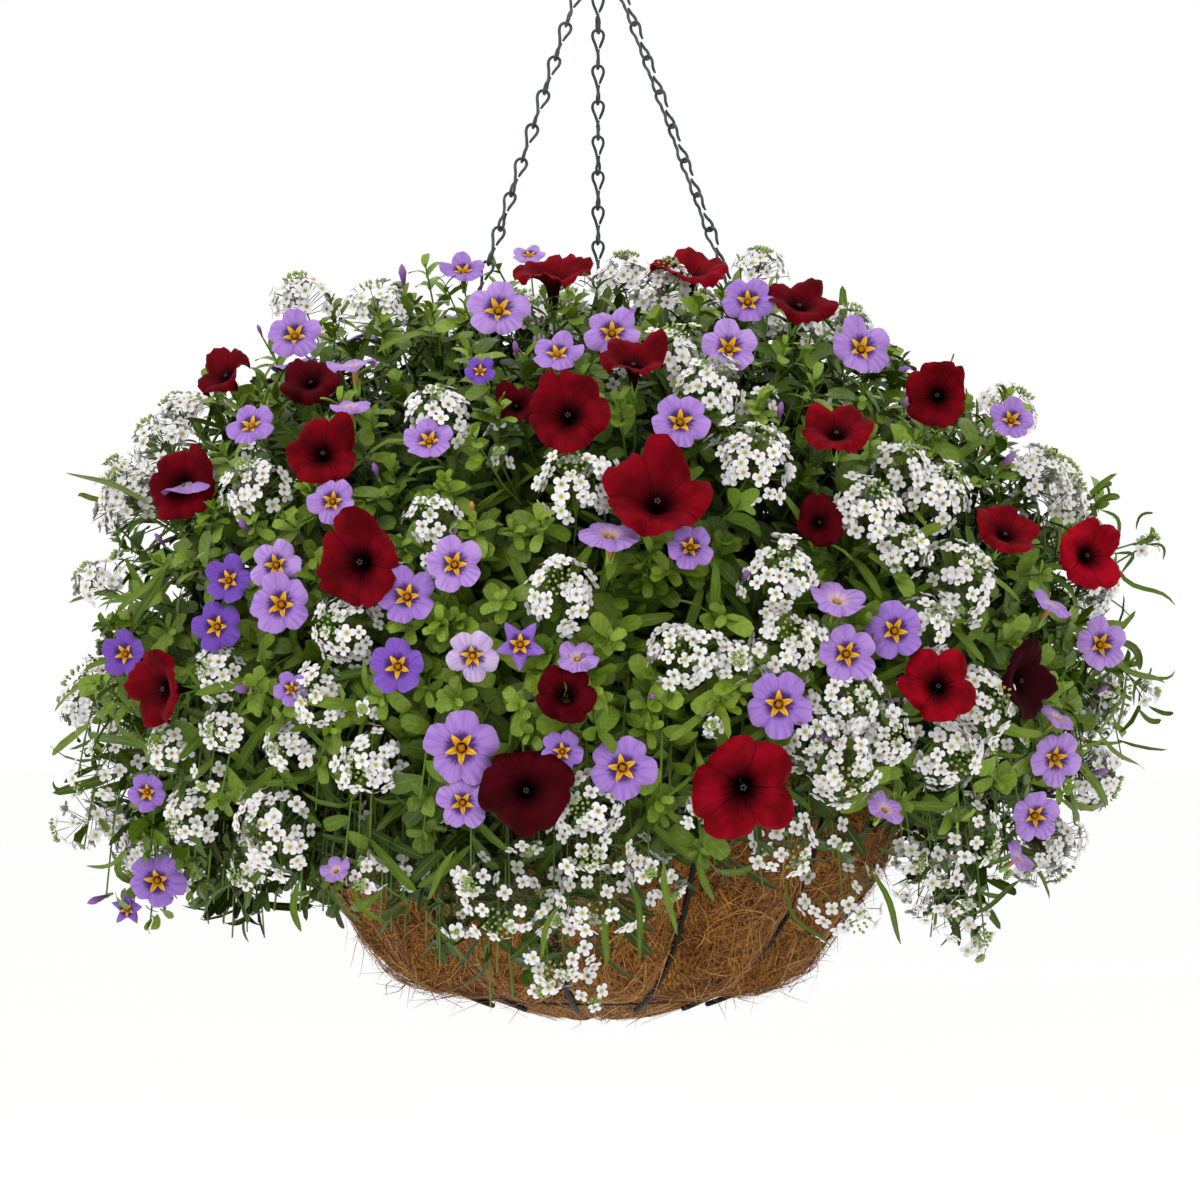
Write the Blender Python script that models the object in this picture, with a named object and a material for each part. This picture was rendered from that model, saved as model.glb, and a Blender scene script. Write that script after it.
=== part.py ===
"""Flowering hanging basket: a wire basket lined with coir, planted with petunia,
calibrachoa and alyssum, on a hanger of three chains and one hook.

Metres, +Z up. The origin is the seat inside the hook's crook, where the basket hangs.
The front of the basket faces -Y. Azimuths are counted from the front towards +X.
"""

import math

import bpy
from mathutils import Vector

# Driving dimensions of the hook
HOOK_WIRE_R = 0.002
CROOK_R = 0.017
EYE_R = 0.008
SHANK_LEAN = math.radians(15)
CROOK_TIP = math.radians(205)
EYE_TURN = math.radians(335)

# Driving dimensions of the chains
CHAIN_HEIGHT = 0.381
CHAIN_AZIMUTHS = {"right": 64, "left": -52, "back": 180}
LINK_COUNT = 20
LINK_WIRE = 0.0016
LINK_WIDTH = 0.006
END_LOOP_R = 0.0040
END_LOOP_LENGTH = 0.011
EYE_PLACES = {"right": -0.0030, "left": -0.0004, "back": 0.0036}

# Driving dimensions of the wire basket
RIM_R = 0.1525
RIM_WIRE_R = 0.002
FRAME_DEPTH = 0.172
FRAME_FULLNESS = 2.3
RIB_COUNT = 12
RIB_WIRE_R = 0.0016
FIRST_RIB_AZIMUTH = -40.5
ROUND_SEGMENTS = 4 * RIB_COUNT
HOOP_DEPTH = 0.117
BASE_DEPTH = 0.163

# Driving dimensions of the liner and the soil
LINER_THICKNESS = 0.010
LINER_LIP = 0.006
LINER_BULGE = 0.0085
LINER_BASE_BULGE = 0.005
LINER_ROWS = [0.0, 0.008, 0.022, 0.045, 0.070, 0.092, 0.106, HOOP_DEPTH, 0.127, 0.140, 0.152, BASE_DEPTH]
SOIL_TOP_DEPTH = 0.014
SOIL_CROWN = 0.006
SOIL_CROWN_R = 0.070
# Depths that the liner's inner face and the soil share, so that one fits in the other
FILL_ROWS = [SOIL_TOP_DEPTH, 0.040, 0.080, HOOP_DEPTH, 0.140, BASE_DEPTH]

# Driving dimensions of the planting
CROWN_RING_R = 0.078
CROWN_HEIGHT = 0.034
CROWN_BASE_R = 0.009
CROWN_TOP_R = 0.026
SHOOTS_PER_CROWN = 5
CANOPY_SWELL = 0.025
CHAIN_SLOT = 0.0046
PLANT_GAP = 0.0005
BLOOM_STAND_OFF = 0.013
BLOOM_LOBES = 5
LOBE_NOTCH = 0.16

# The gap kept between pieces that touch
GAP = 0.0004

# The canopy's section from the top of the ball out to the hem: radius, height above the rim
CANOPY_OUTSIDE = [
    (0.014, 0.186),
    (0.095, 0.195),
    (0.155, 0.184),
    (0.196, 0.156),
    (0.230, 0.120),
    (0.252, 0.075),
    (0.261, 0.020),
    (0.262, -0.035),
    (0.256, -0.056),
]
# The canopy's underside from the liner back up over the rim to the axis
CANOPY_INSIDE = [
    (0.173, -0.045),
    (0.169, 0.000),
    (0.160, 0.020),
    (0.100, 0.034),
    (0.014, 0.036),
]
HEM_DEPTH = 0.076
HEM_REACH = 0.236
HEM_CLEARANCE = 0.010
TRAIL_HALF_WIDTH = 21

# Plants between their two side azimuths, with the extra depth of a trailing hem and its azimuth
PLANTS = [
    ("alyssum_front", -52, 6, 0.078, -12),
    ("calibrachoa_right", 6, 64, 0.006, 45),
    ("petunia_right", 64, 122, 0.058, 92),
    ("alyssum_back", 122, 180, 0.050, 150),
    ("calibrachoa_back", 180, 244, 0.020, 212),
    ("petunia_left", 244, 308, 0.046, 270),
]
PLANT_SECTIONS = 8

# The petunia blooms on the front of the ball: x, height above the rim and width, in millimetres
BLOOMS = [
    (28, 89, 50),
    (-21, 197, 38),
    (44, 203, 38),
    (97, 184, 34),
    (-14, 127, 40),
    (17, 153, 34),
    (160, 138, 38),
    (111, 121, 36),
    (-128, 110, 38),
    (-182, 151, 32),
    (-199, 96, 38),
    (-111, 58, 44),
    (-209, -2, 38),
    (-32, -46, 42),
    (67, -46, 48),
    (158, 1, 34),
    (203, 2, 36),
    (238, 62, 34),
    (193, 74, 32),
    (-14, -2, 28),
]

# The hoops lie inside the ribs, and the liner's face is held in clear of hoops and rim links
LINER_HELD_IN = -3 * RIB_WIRE_R - 0.0028

EYE_CENTRE_Z = (
    HOOK_WIRE_R
    - CROOK_R
    - (CROOK_R - EYE_R) * math.cos(SHANK_LEAN) ** 2 / math.sin(SHANK_LEAN)
    - (CROOK_R - EYE_R) * math.sin(SHANK_LEAN)
)
APEX_Z = EYE_CENTRE_Z - EYE_R
RIM_Z = APEX_Z - CHAIN_HEIGHT


def material(name, colour, roughness, metallic=0.0):
    """Makes a Principled material from a linear colour."""
    made = bpy.data.materials.new(name)
    made.use_nodes = True
    shader = made.node_tree.nodes["Principled BSDF"]
    shader.inputs["Base Color"].default_value = (*colour, 1.0)
    shader.inputs["Roughness"].default_value = roughness
    shader.inputs["Metallic"].default_value = metallic
    made.diffuse_color = (*colour, 1.0)
    return made


def add_mesh(name, vertices, faces, finish, sharp_degrees=40):
    """Adds a mesh object with rounded shading up to the given edge angle."""
    mesh = bpy.data.meshes.new(name)
    mesh.from_pydata([tuple(v) for v in vertices], [], faces)
    mesh.shade_smooth()
    mesh.set_sharp_from_angle(angle=math.radians(sharp_degrees))
    mesh.materials.append(finish)
    made = bpy.data.objects.new(name, mesh)
    bpy.context.scene.collection.objects.link(made)
    return made


def add_wire(name, points, radius, finish, closed=False):
    """Adds a round wire through the points, six-sided, with filled ends."""
    curve = bpy.data.curves.new(name, "CURVE")
    curve.dimensions = "3D"
    curve.bevel_depth = radius
    curve.bevel_resolution = 1
    curve.use_fill_caps = True
    spline = curve.splines.new("POLY")
    spline.points.add(len(points) - 1)
    for slot, point in zip(spline.points, points):
        slot.co = (*point, 1.0)
    spline.use_cyclic_u = closed
    curve.materials.append(finish)
    made = bpy.data.objects.new(name, curve)
    bpy.context.scene.collection.objects.link(made)
    return made


def lofted(rings):
    """Vertices and faces of a closed tube of equal rings, with its two ends filled."""
    count = len(rings[0])
    vertices = [v for ring in rings for v in ring]
    faces = [tuple(reversed(range(count)))]
    for row in range(len(rings) - 1):
        for i in range(count):
            j = (i + 1) % count
            low, high = row * count, (row + 1) * count
            faces.append((low + i, low + j, high + j, high + i))
    last = (len(rings) - 1) * count
    faces.append(tuple(range(last, last + count)))
    return vertices, faces


def turned(rows, segments):
    """Vertices and faces of a closed shape with a pole at each end, from rows of points.

    The first and last rows are single points. The rows run down the outside.
    """
    vertices = [rows[0]] + [v for row in rows[1:-1] for v in row] + [rows[-1]]
    faces = []
    for i in range(segments):
        j = (i + 1) % segments
        faces.append((0, 1 + i, 1 + j))
        for row in range(len(rows) - 3):
            high, low = 1 + row * segments, 1 + (row + 1) * segments
            faces.append((high + i, low + i, low + j, high + j))
        last = 1 + (len(rows) - 3) * segments
        faces.append((last + i, len(vertices) - 1, last + j))
    return vertices, faces


def at(radius, azimuth, height):
    """A point from its distance to the axis, its azimuth in radians and its height over the rim."""
    return Vector((radius * math.sin(azimuth), -radius * math.cos(azimuth), RIM_Z + height))


def round_azimuths():
    """The azimuths of the points round the basket. Every rib lies on one of them."""
    first = math.radians(FIRST_RIB_AZIMUTH)
    return [first + 2 * math.pi * i / ROUND_SEGMENTS for i in range(ROUND_SEGMENTS)]


def ring_points(radius, height):
    """Points of a level ring of wire."""
    return [at(radius, azimuth, height) for azimuth in round_azimuths()]


def frame_profile(depth, outward=0.0):
    """Radius and height of the wire frame's section at a depth below the rim.

    The section is a superellipse, and outward moves the point along its normal.
    """
    share = depth / FRAME_DEPTH
    power = FRAME_FULLNESS
    across = (1 - share**power) ** (1 / power)
    normal = Vector((across ** (power - 1) / RIM_R, share ** (power - 1) / FRAME_DEPTH))
    normal.normalize()
    return RIM_R * across + outward * normal.x, -depth - outward * normal.y


def hook_points():
    """The hook's wire centre: the crook over the support, the shank and the closed eye."""
    crook_z = HOOK_WIRE_R - CROOK_R
    points = []
    for i in range(13):
        turn = CROOK_TIP + (-SHANK_LEAN - CROOK_TIP) * i / 12
        points.append(Vector((0, CROOK_R * math.cos(turn), crook_z + CROOK_R * math.sin(turn))))
    for i in range(17):
        turn = -SHANK_LEAN + (SHANK_LEAN - EYE_TURN) * i / 16
        points.append(Vector((0, EYE_R * math.cos(turn), EYE_CENTRE_Z + EYE_R * math.sin(turn))))
    return points


def chain_axis(side):
    """The point on the eye, the one on the rim, the direction down and the length between."""
    aside = EYE_PLACES[side]
    top = Vector((0, aside, APEX_Z + EYE_R - math.sqrt(EYE_R**2 - aside**2)))
    foot = at(RIM_R, math.radians(CHAIN_AZIMUTHS[side]), 0)
    along = foot - top
    length = along.length
    return top, foot, along / length, length


def add_end_loop(name, seat, along, wire_r, wire_direction, finish):
    """Adds an oval loop round the wire at seat, pulled along until it bears on the wire."""
    centre = seat + (END_LOOP_R - LINK_WIRE / 2 - wire_r - GAP) * along
    normal = (wire_direction - wire_direction.dot(along) * along).normalized()
    across = normal.cross(along)
    points = []
    for end, start in ((0.0, math.pi), (END_LOOP_LENGTH, 0.0)):
        for i in range(6):
            turn = start + math.pi * i / 5
            step = END_LOOP_R * (math.cos(turn) * across + math.sin(turn) * along)
            points.append(centre + end * along + step)
    return add_wire(name, points, LINK_WIRE / 2, finish, closed=True)


def add_chain(name, start, along, length, finish):
    """Adds a run of flat links, each turned a quarter against the next, as one solid bar."""
    aside = along.orthogonal().normalized()
    back = along.cross(aside)
    pitch = length / LINK_COUNT
    neck, wide = LINK_WIRE / 2, LINK_WIDTH / 2
    stations = [(0.0, neck, neck)]
    for link in range(LINK_COUNT):
        first, second = (wide, neck) if link % 2 else (neck, wide)
        stations.append(((link + 0.2) * pitch, first, second))
        stations.append(((link + 0.8) * pitch, first, second))
        stations.append(((link + 1.0) * pitch, neck, neck))
    corners = ((1, 1), (-1, 1), (-1, -1), (1, -1))
    rings = [
        [start + s * along + a * half_a * aside + b * half_b * back for a, b in corners]
        for s, half_a, half_b in stations
    ]
    return add_mesh(name, *lofted(rings), finish, sharp_degrees=20)


def add_hanger(steel, chain_steel):
    """Adds the hook and, for each side, the link in its eye, the chain and the link on the rim."""
    add_wire("hanger_hook", hook_points(), HOOK_WIRE_R, steel)
    reach = END_LOOP_LENGTH + 2 * END_LOOP_R - HOOK_WIRE_R
    for side, azimuth in CHAIN_AZIMUTHS.items():
        top, foot, along, length = chain_axis(side)
        round_rim = Vector((math.cos(math.radians(azimuth)), math.sin(math.radians(azimuth)), 0))
        add_end_loop(f"eye_link_{side}", top, along, HOOK_WIRE_R, Vector((0, 1, 0)), chain_steel)
        add_end_loop(f"rim_link_{side}", foot, -along, RIM_WIRE_R, round_rim, chain_steel)
        add_chain(f"chain_{side}", top + reach * along, along, length - 2 * reach, chain_steel)


def add_wire_frame(steel):
    """Adds the rim, the middle hoop, the base ring and the ribs between rim and base ring."""
    add_wire("rim_ring", ring_points(RIM_R, 0), RIM_WIRE_R, steel, closed=True)
    inside = -2 * RIB_WIRE_R - GAP
    for name, depth in (("middle_hoop", HOOP_DEPTH), ("base_ring", BASE_DEPTH)):
        radius, height = frame_profile(depth, inside)
        add_wire(name, ring_points(radius, height), RIB_WIRE_R, steel, closed=True)
    depths = [RIM_WIRE_R + RIB_WIRE_R + GAP] + [BASE_DEPTH * math.sin(a / 18 * math.pi) for a in range(1, 9)]
    depths.append(BASE_DEPTH + RIB_WIRE_R)
    for i in range(RIB_COUNT):
        azimuth = math.radians(FIRST_RIB_AZIMUTH + 360 / RIB_COUNT * i)
        points = [at(*profile_at(depth, azimuth)) for depth in depths]
        add_wire(f"rib_{i + 1:02d}", points, RIB_WIRE_R, steel)


def profile_at(depth, azimuth, outward=0.0):
    """Radius, azimuth and height of a point on the wire frame, ready for at()."""
    radius, height = frame_profile(depth, outward)
    return radius, azimuth, height


def pressed(depth):
    """How far the wires hold the liner in at a depth: 1 at a hoop, 0 midway between hoops."""
    held = 0.0
    for ring_depth, spread in ((0.0, 0.016), (HOOP_DEPTH, 0.009), (BASE_DEPTH, 0.009)):
        held = max(held, math.exp(-(((depth - ring_depth) / spread) ** 2)))
    return held


def liner_outside(depth, azimuth):
    """A point of the coir's outer face, which swells between the ribs and hoops."""
    turn = RIB_COUNT / 2 * (azimuth - math.radians(FIRST_RIB_AZIMUTH))
    free = (1 - pressed(depth)) * abs(math.sin(turn)) ** 0.8
    outward = LINER_HELD_IN + free * (LINER_BULGE - LINER_HELD_IN)
    radius, height = frame_profile(depth, outward)
    return at(radius, azimuth, height)


def add_liner_and_soil(coir, soil):
    """Adds the coir bowl and the soil that fills it."""
    turns = round_azimuths()
    lip_r = RIM_R + LINER_HELD_IN
    inner = LINER_HELD_IN - LINER_THICKNESS

    outside = [[at(lip_r, a, LINER_LIP) for a in turns]]
    for depth in LINER_ROWS:
        outside.append([liner_outside(depth, a) for a in turns])
    base_r = frame_profile(BASE_DEPTH, LINER_HELD_IN)[0]
    outside.append([at(0.7 * base_r, a, -FRAME_DEPTH - LINER_BASE_BULGE / 2) for a in turns])
    bottom = at(0, 0, -FRAME_DEPTH - LINER_BASE_BULGE)

    inside = [[at(RIM_R + inner, a, LINER_LIP) for a in turns]]
    for depth in (0.0, *FILL_ROWS):
        inside.append([at(*profile_at(depth, a, inner)) for a in turns])
    pit = at(0, 0, inside_floor(inner))

    shell = [pit, *reversed(inside), *outside, bottom]
    add_mesh("coir_liner", *turned(shell, ROUND_SEGMENTS), coir)

    fill = inner - GAP
    rows = [at(0, 0, -SOIL_TOP_DEPTH + SOIL_CROWN)]
    rows.append([at(SOIL_CROWN_R, a, -SOIL_TOP_DEPTH + 0.75 * SOIL_CROWN) for a in turns])
    for depth in FILL_ROWS:
        rows.append([at(*profile_at(depth, a, fill)) for a in turns])
    rows.append(at(0, 0, inside_floor(fill)))
    add_mesh("potting_soil", *turned(rows, ROUND_SEGMENTS), soil)


def inside_floor(outward):
    """Height of the bowl's inner floor on the axis, for a face moved out by this much."""
    return -FRAME_DEPTH - outward


def hem_depth(azimuth, extra, trail_azimuth):
    """How far below the rim a plant's hem hangs at an azimuth."""
    off = (math.degrees(azimuth) - trail_azimuth) / TRAIL_HALF_WIDTH
    return HEM_DEPTH + extra * math.exp(-(off**4))


def beside_liner(depth):
    """Radius and height of a point that hangs just clear of the liner's widest swelling."""
    return frame_profile(depth, LINER_BULGE)[0] + HEM_CLEARANCE, -depth


def swell(azimuth, row):
    """The canopy's uneven outline, as a factor on its radius."""
    waves = math.sin(5 * azimuth + 1.3 * row) + math.sin(9 * azimuth - 2.1 * row + 0.7)
    return 1 + CANOPY_SWELL * 0.5 * waves


def canopy_section(azimuth, extra, trail_azimuth):
    """The closed section of a plant's foliage at an azimuth, as radius and height."""
    outside = [
        (radius * (swell(azimuth, row) if row > 1 else 1), height)
        for row, (radius, height) in enumerate(CANOPY_OUTSIDE)
    ]
    depth = hem_depth(azimuth, extra, trail_azimuth)
    tucked = depth - 0.004
    hem = [(HEM_REACH - 0.7 * (depth - HEM_DEPTH), -depth)]
    hem.append(beside_liner(tucked))
    hem.append(beside_liner((tucked - CANOPY_INSIDE[0][1]) / 2))
    return outside + hem + CANOPY_INSIDE


def add_foliage(name, first, last, extra, trail_azimuth, finish):
    """Adds one plant's foliage, a wedge of the ball that leaves the chains' slots free."""
    slots = {azimuth % 360 for azimuth in CHAIN_AZIMUTHS.values()}
    before, after = (CHAIN_SLOT if edge % 360 in slots else PLANT_GAP for edge in (first, last))
    rings = []
    for i in range(PLANT_SECTIONS + 1):
        share = i / PLANT_SECTIONS
        middle = math.radians(first + (last - first) * share)
        ring = []
        for radius, height in canopy_section(middle, extra, trail_azimuth):
            start = math.radians(first) + math.asin(before / radius)
            end = math.radians(last) - math.asin(after / radius)
            ring.append(at(radius, start + (end - start) * share, height))
        rings.append(ring)
    add_mesh(name, *lofted(rings), finish, sharp_degrees=60)


def add_crown(name, azimuth, finish):
    """Adds one plant's crown: a fluted bundle of shoots that spread as they rise."""
    foot = at(CROWN_RING_R, azimuth, -SOIL_TOP_DEPTH + SOIL_CROWN + GAP)
    rings = []
    for share in (0.0, 0.35, 0.7, 1.0):
        radius = CROWN_BASE_R + (CROWN_TOP_R - CROWN_BASE_R) * share**1.6
        flute = 0.08 + 0.5 * share
        ring = []
        for k in range(2 * SHOOTS_PER_CROWN):
            turn = math.pi * k / SHOOTS_PER_CROWN
            reach = radius * (1 - flute * (k % 2))
            rise = CROWN_HEIGHT * share
            ring.append(foot + Vector((reach * math.cos(turn), reach * math.sin(turn), rise)))
        rings.append(ring)
    add_mesh(name, *lofted(rings), finish, sharp_degrees=30)


def bloom_seat(x, height):
    """Where a bloom at this x and height sits in front of the canopy, and which way it faces."""
    outline = [*CANOPY_OUTSIDE, (HEM_REACH, -HEM_DEPTH)]
    seats = []
    for before, here, after in zip(outline, outline[1:], outline[2:]):
        normal = Vector((before[1] - after[1], after[0] - before[0])).normalized()
        seats.append((Vector(here) + BLOOM_STAND_OFF * normal, normal))
    height = min(height, seats[0][0].y)
    for (upper, upper_normal), (lower, lower_normal) in zip(seats, seats[1:]):
        if lower.y <= height <= upper.y:
            share = (upper.y - height) / (upper.y - lower.y)
            radius = upper.x + share * (lower.x - upper.x)
            normal = upper_normal.lerp(lower_normal, share).normalized()
    radius = max(radius, abs(x))
    azimuth = math.asin(x / radius)
    out = Vector((math.sin(azimuth), -math.cos(azimuth), 0))
    return at(radius, azimuth, height), normal.x * out + normal.y * Vector((0, 0, 1))


def add_bloom(name, x, height, width, finish):
    """Adds one open petunia bloom: a five-lobed trumpet mouth on a short throat."""
    seat, facing = bloom_seat(x, height)
    turn_to = facing.to_track_quat("Z", "Y").to_matrix()
    radius = width / 2
    outline = ((0.08, -0.0055), (0.5, -0.0030), (1.0, -0.0004), (0.96, 0.0014), (0.30, -0.0002))
    rings = []
    for share, lift in outline:
        ring = []
        for k in range(3 * BLOOM_LOBES):
            turn = 2 * math.pi * k / (3 * BLOOM_LOBES)
            reach = radius * share * (1 - LOBE_NOTCH * share * (k % 3 == 0))
            ring.append(seat + turn_to @ Vector((reach * math.cos(turn), reach * math.sin(turn), lift)))
        rings.append(ring)
    return add_mesh(name, *lofted(rings), finish, sharp_degrees=50)


def main():
    """Clears the scene and builds the basket from the hook down."""
    for old in list(bpy.data.objects):
        bpy.data.objects.remove(old, do_unlink=True)
    black_steel = material("powder_coated_wire", (0.010, 0.011, 0.012), 0.45, 0.6)
    chain_steel = material("dark_green_chain", (0.040, 0.062, 0.060), 0.40, 0.7)
    coir = material("coir_fibre", (0.27, 0.11, 0.035), 0.95)
    soil = material("potting_soil", (0.020, 0.012, 0.008), 0.95)
    leaf = material("green_leaf", (0.055, 0.13, 0.022), 0.55)
    stem = material("green_stem", (0.10, 0.17, 0.035), 0.55)
    crimson = material("crimson_petal", (0.30, 0.002, 0.012), 0.60)

    add_hanger(black_steel, chain_steel)
    add_wire_frame(black_steel)
    add_liner_and_soil(coir, soil)
    for name, first, last, extra, trail_azimuth in PLANTS:
        add_foliage(f"{name}_foliage", first, last, extra, trail_azimuth, leaf)
        add_crown(f"{name}_stems", math.radians((first + last) / 2), stem)
    for i, (x, height, width) in enumerate(BLOOMS):
        add_bloom(f"petunia_bloom_{i + 1:02d}", x / 1000, height / 1000, width / 1000, crimson)


main()
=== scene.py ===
"""The looks of a flowering hanging basket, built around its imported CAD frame.

Lengths are metres in the CAD frame: the origin is the seat in the hook's crook, +Z is up,
and the front of the planting faces -Y. Azimuths run in degrees from the front towards +X.
"""
import logging
import math
from dataclasses import dataclass, field
from enum import Enum

import bpy
import numpy as np
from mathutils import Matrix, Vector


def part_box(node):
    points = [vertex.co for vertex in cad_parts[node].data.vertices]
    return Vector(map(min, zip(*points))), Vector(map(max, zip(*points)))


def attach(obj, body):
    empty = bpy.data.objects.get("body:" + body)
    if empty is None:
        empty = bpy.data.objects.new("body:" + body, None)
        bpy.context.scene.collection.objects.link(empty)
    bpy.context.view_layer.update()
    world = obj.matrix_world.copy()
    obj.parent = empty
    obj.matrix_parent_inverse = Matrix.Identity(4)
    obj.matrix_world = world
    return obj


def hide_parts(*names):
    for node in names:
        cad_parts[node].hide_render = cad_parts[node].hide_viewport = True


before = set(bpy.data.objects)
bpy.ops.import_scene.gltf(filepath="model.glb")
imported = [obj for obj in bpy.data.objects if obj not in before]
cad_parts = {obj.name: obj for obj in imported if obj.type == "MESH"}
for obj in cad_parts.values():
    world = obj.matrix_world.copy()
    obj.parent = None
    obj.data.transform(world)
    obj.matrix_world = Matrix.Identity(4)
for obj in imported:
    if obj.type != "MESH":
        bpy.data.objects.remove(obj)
LOG = logging.getLogger("hanging_basket")

# Sizes that the CAD part fixes
RIM_R = 0.1525
RIM_WIRE_R = 0.002
RIB_WIRE_R = 0.0016
APEX_Z = -0.05778
RIM_Z = APEX_Z - 0.381
CHAIN_WIRE_R = 0.0008
FIRST_RIB_AZIMUTH = -40.5
RIB_COUNT = 12
HOOP_DEPTH = 0.117
BASE_DEPTH = 0.163
CROWN_RING_R = 0.078

# The photograph's scale and the camera that took it
PHOTO_WIDTH = 1200
PIXELS_PER_METRE = 1970
CAMERA_DISTANCE = 2.5
CAMERA_X = 0.001
CAMERA_ABOVE_RIM = 0.040
GOLDEN_ANGLE = math.radians(137.508)


def at(radius: float, azimuth: float, height: float) -> np.ndarray:
    """A point at a radius, an azimuth in radians and a height above the rim."""
    return np.array([radius * math.sin(azimuth), -radius * math.cos(azimuth), RIM_Z + height])


def unit(vectors: np.ndarray) -> np.ndarray:
    """Vectors scaled to length one."""
    return vectors / np.maximum(np.linalg.norm(vectors, axis=-1, keepdims=True), 1e-9)


def facing_turns(facing: np.ndarray, upward: np.ndarray, spin: np.ndarray | float = 0.0) -> np.ndarray:
    """Rotations whose Z axis looks along the facing and whose Y axis leans to upward.

    Args:
        facing: Directions, one per row.
        upward: Directions that the Y axes lean to.
        spin: Angle in radians that each piece turns about its own facing.

    Returns:
        One 3 by 3 matrix per row, with the axes as columns.
    """
    z = unit(facing)
    x = unit(np.cross(upward, z))
    y = np.cross(z, x)
    c, s = np.cos(spin), np.sin(spin)
    if np.ndim(spin):
        c, s = c[:, None], s[:, None]
    return np.stack([x * c + y * s, y * c - x * s, z], axis=-1)


def blade_turns(along: np.ndarray, upper: np.ndarray) -> np.ndarray:
    """Rotations whose Y axis runs along a blade and whose Z axis leans to its upper side."""
    y = unit(along)
    x = unit(np.cross(y, upper))
    return np.stack([x, y, np.cross(x, y)], axis=-1)


# Materials


def linear(hex_colour: str) -> tuple[float, float, float, float]:
    """An sRGB hex colour as linear red, green, blue and an alpha of one."""
    parts = [int(hex_colour[i : i + 2], 16) / 255 for i in (1, 3, 5)]
    return (*[p / 12.92 if p <= 0.04045 else ((p + 0.055) / 1.055) ** 2.4 for p in parts], 1.0)


def add_node(tree: bpy.types.NodeTree, kind: str, links: dict | None = None, ramp: list | None = None,
             **settings: object) -> bpy.types.Node:
    """Adds one shader node with its settings and links.

    Args:
        tree: The material's node tree.
        kind: The node type without its ShaderNode prefix.
        links: What feeds each input, by input name or number: a node, a node's output or a constant.
        ramp: Stops of a colour ramp, as position and hex colour.
        **settings: The node's own properties.

    Returns:
        The new node.
    """
    node = tree.nodes.new("ShaderNode" + kind)
    for name, value in settings.items():
        setattr(node, name, value)
    for place, source in (links or {}).items():
        if isinstance(source, bpy.types.Node):
            source = source.outputs[0]
        if isinstance(source, bpy.types.NodeSocket):
            tree.links.new(source, node.inputs[place])
        else:
            node.inputs[place].default_value = source
    for i, (position, colour) in enumerate(ramp or []):
        stops = node.color_ramp.elements
        stop = stops[i] if i < 2 else stops.new(position)
        stop.position = position
        stop.color = linear(colour)
    return node


@dataclass(frozen=True)
class Finish:
    """What a surface is made of. A subclass paints its colour and relief."""

    title: str
    roughness: float = 0.5
    ior: float = 1.45
    metallic: float = 0.0
    sheen: float = 0.0
    sheen_hex: str = "#FFFFFF"
    gloss: float = 0.5
    relief_mm: float = 0.0

    def paint(self, tree: bpy.types.NodeTree) -> tuple:
        """Adds the nodes of the colour and the relief, and returns the two; relief may be None."""
        raise NotImplementedError

    def material(self) -> bpy.types.Material:
        """The Blender material of this finish, made once."""
        known = bpy.data.materials.get(self.title)
        if known:
            return known
        made = bpy.data.materials.new(self.title)
        made.use_nodes = True
        tree = made.node_tree
        shader = tree.nodes["Principled BSDF"]
        shader.inputs["Roughness"].default_value = self.roughness
        shader.inputs["Metallic"].default_value = self.metallic
        shader.inputs["Specular IOR Level"].default_value = self.gloss
        if not self.metallic:
            shader.inputs["IOR"].default_value = self.ior
        if self.sheen:
            shader.inputs["Sheen Weight"].default_value = self.sheen
            shader.inputs["Sheen Tint"].default_value = linear(self.sheen_hex)
        colour, relief = self.paint(tree)
        tree.links.new(colour.outputs[0], shader.inputs["Base Color"])
        if relief:
            links = {"Height": relief, "Distance": self.relief_mm / 1000, "Strength": 1.0}
            bump = add_node(tree, "Bump", links)
            tree.links.new(bump.outputs[0], shader.inputs["Normal"])
        return made


def pattern_parts(tree: bpy.types.NodeTree) -> tuple[bpy.types.Node, bpy.types.NodeSocket, bpy.types.NodeSocket,
                                                      bpy.types.NodeSocket]:
    """Reads the pattern that each mesh carries.

    Returns:
        The attribute node, and its two flat coordinates and tint as sockets.
    """
    carried = add_node(tree, "Attribute", attribute_name="pattern")
    parts = add_node(tree, "SeparateXYZ", {0: carried.outputs["Vector"]})
    return carried, parts.outputs[0], parts.outputs[1], parts.outputs[2]


def polar_parts(tree: bpy.types.NodeTree, lobes: int) -> tuple[bpy.types.Node, bpy.types.Node, bpy.types.NodeSocket]:
    """The pattern as polar values for a bloom.

    Args:
        tree: The material's node tree.
        lobes: How many lobes the bloom has.

    Returns:
        The distance from the middle, how far round it is from the nearest ray between two lobes (0 on
        the ray, 1 on a lobe's middle), and the tint.
    """
    _, across, up, tint = pattern_parts(tree)
    squares = [add_node(tree, "Math", {0: s, 1: s}, operation="MULTIPLY") for s in (across, up)]
    total = add_node(tree, "Math", {0: squares[0], 1: squares[1]}, operation="ADD")
    reach = add_node(tree, "Math", {0: total}, operation="SQRT")
    angle = add_node(tree, "Math", {0: up, 1: across}, operation="ARCTAN2")
    turns = add_node(tree, "Math", {0: angle, 1: float(lobes)}, operation="MULTIPLY")
    wave = add_node(tree, "Math", {0: turns}, operation="COSINE")
    arc = add_node(tree, "Math", {0: wave}, operation="ARCCOSINE")
    off_ray = add_node(tree, "Math", {0: arc, 1: 1 / math.pi}, operation="MULTIPLY")
    return reach, off_ray, tint


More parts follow.
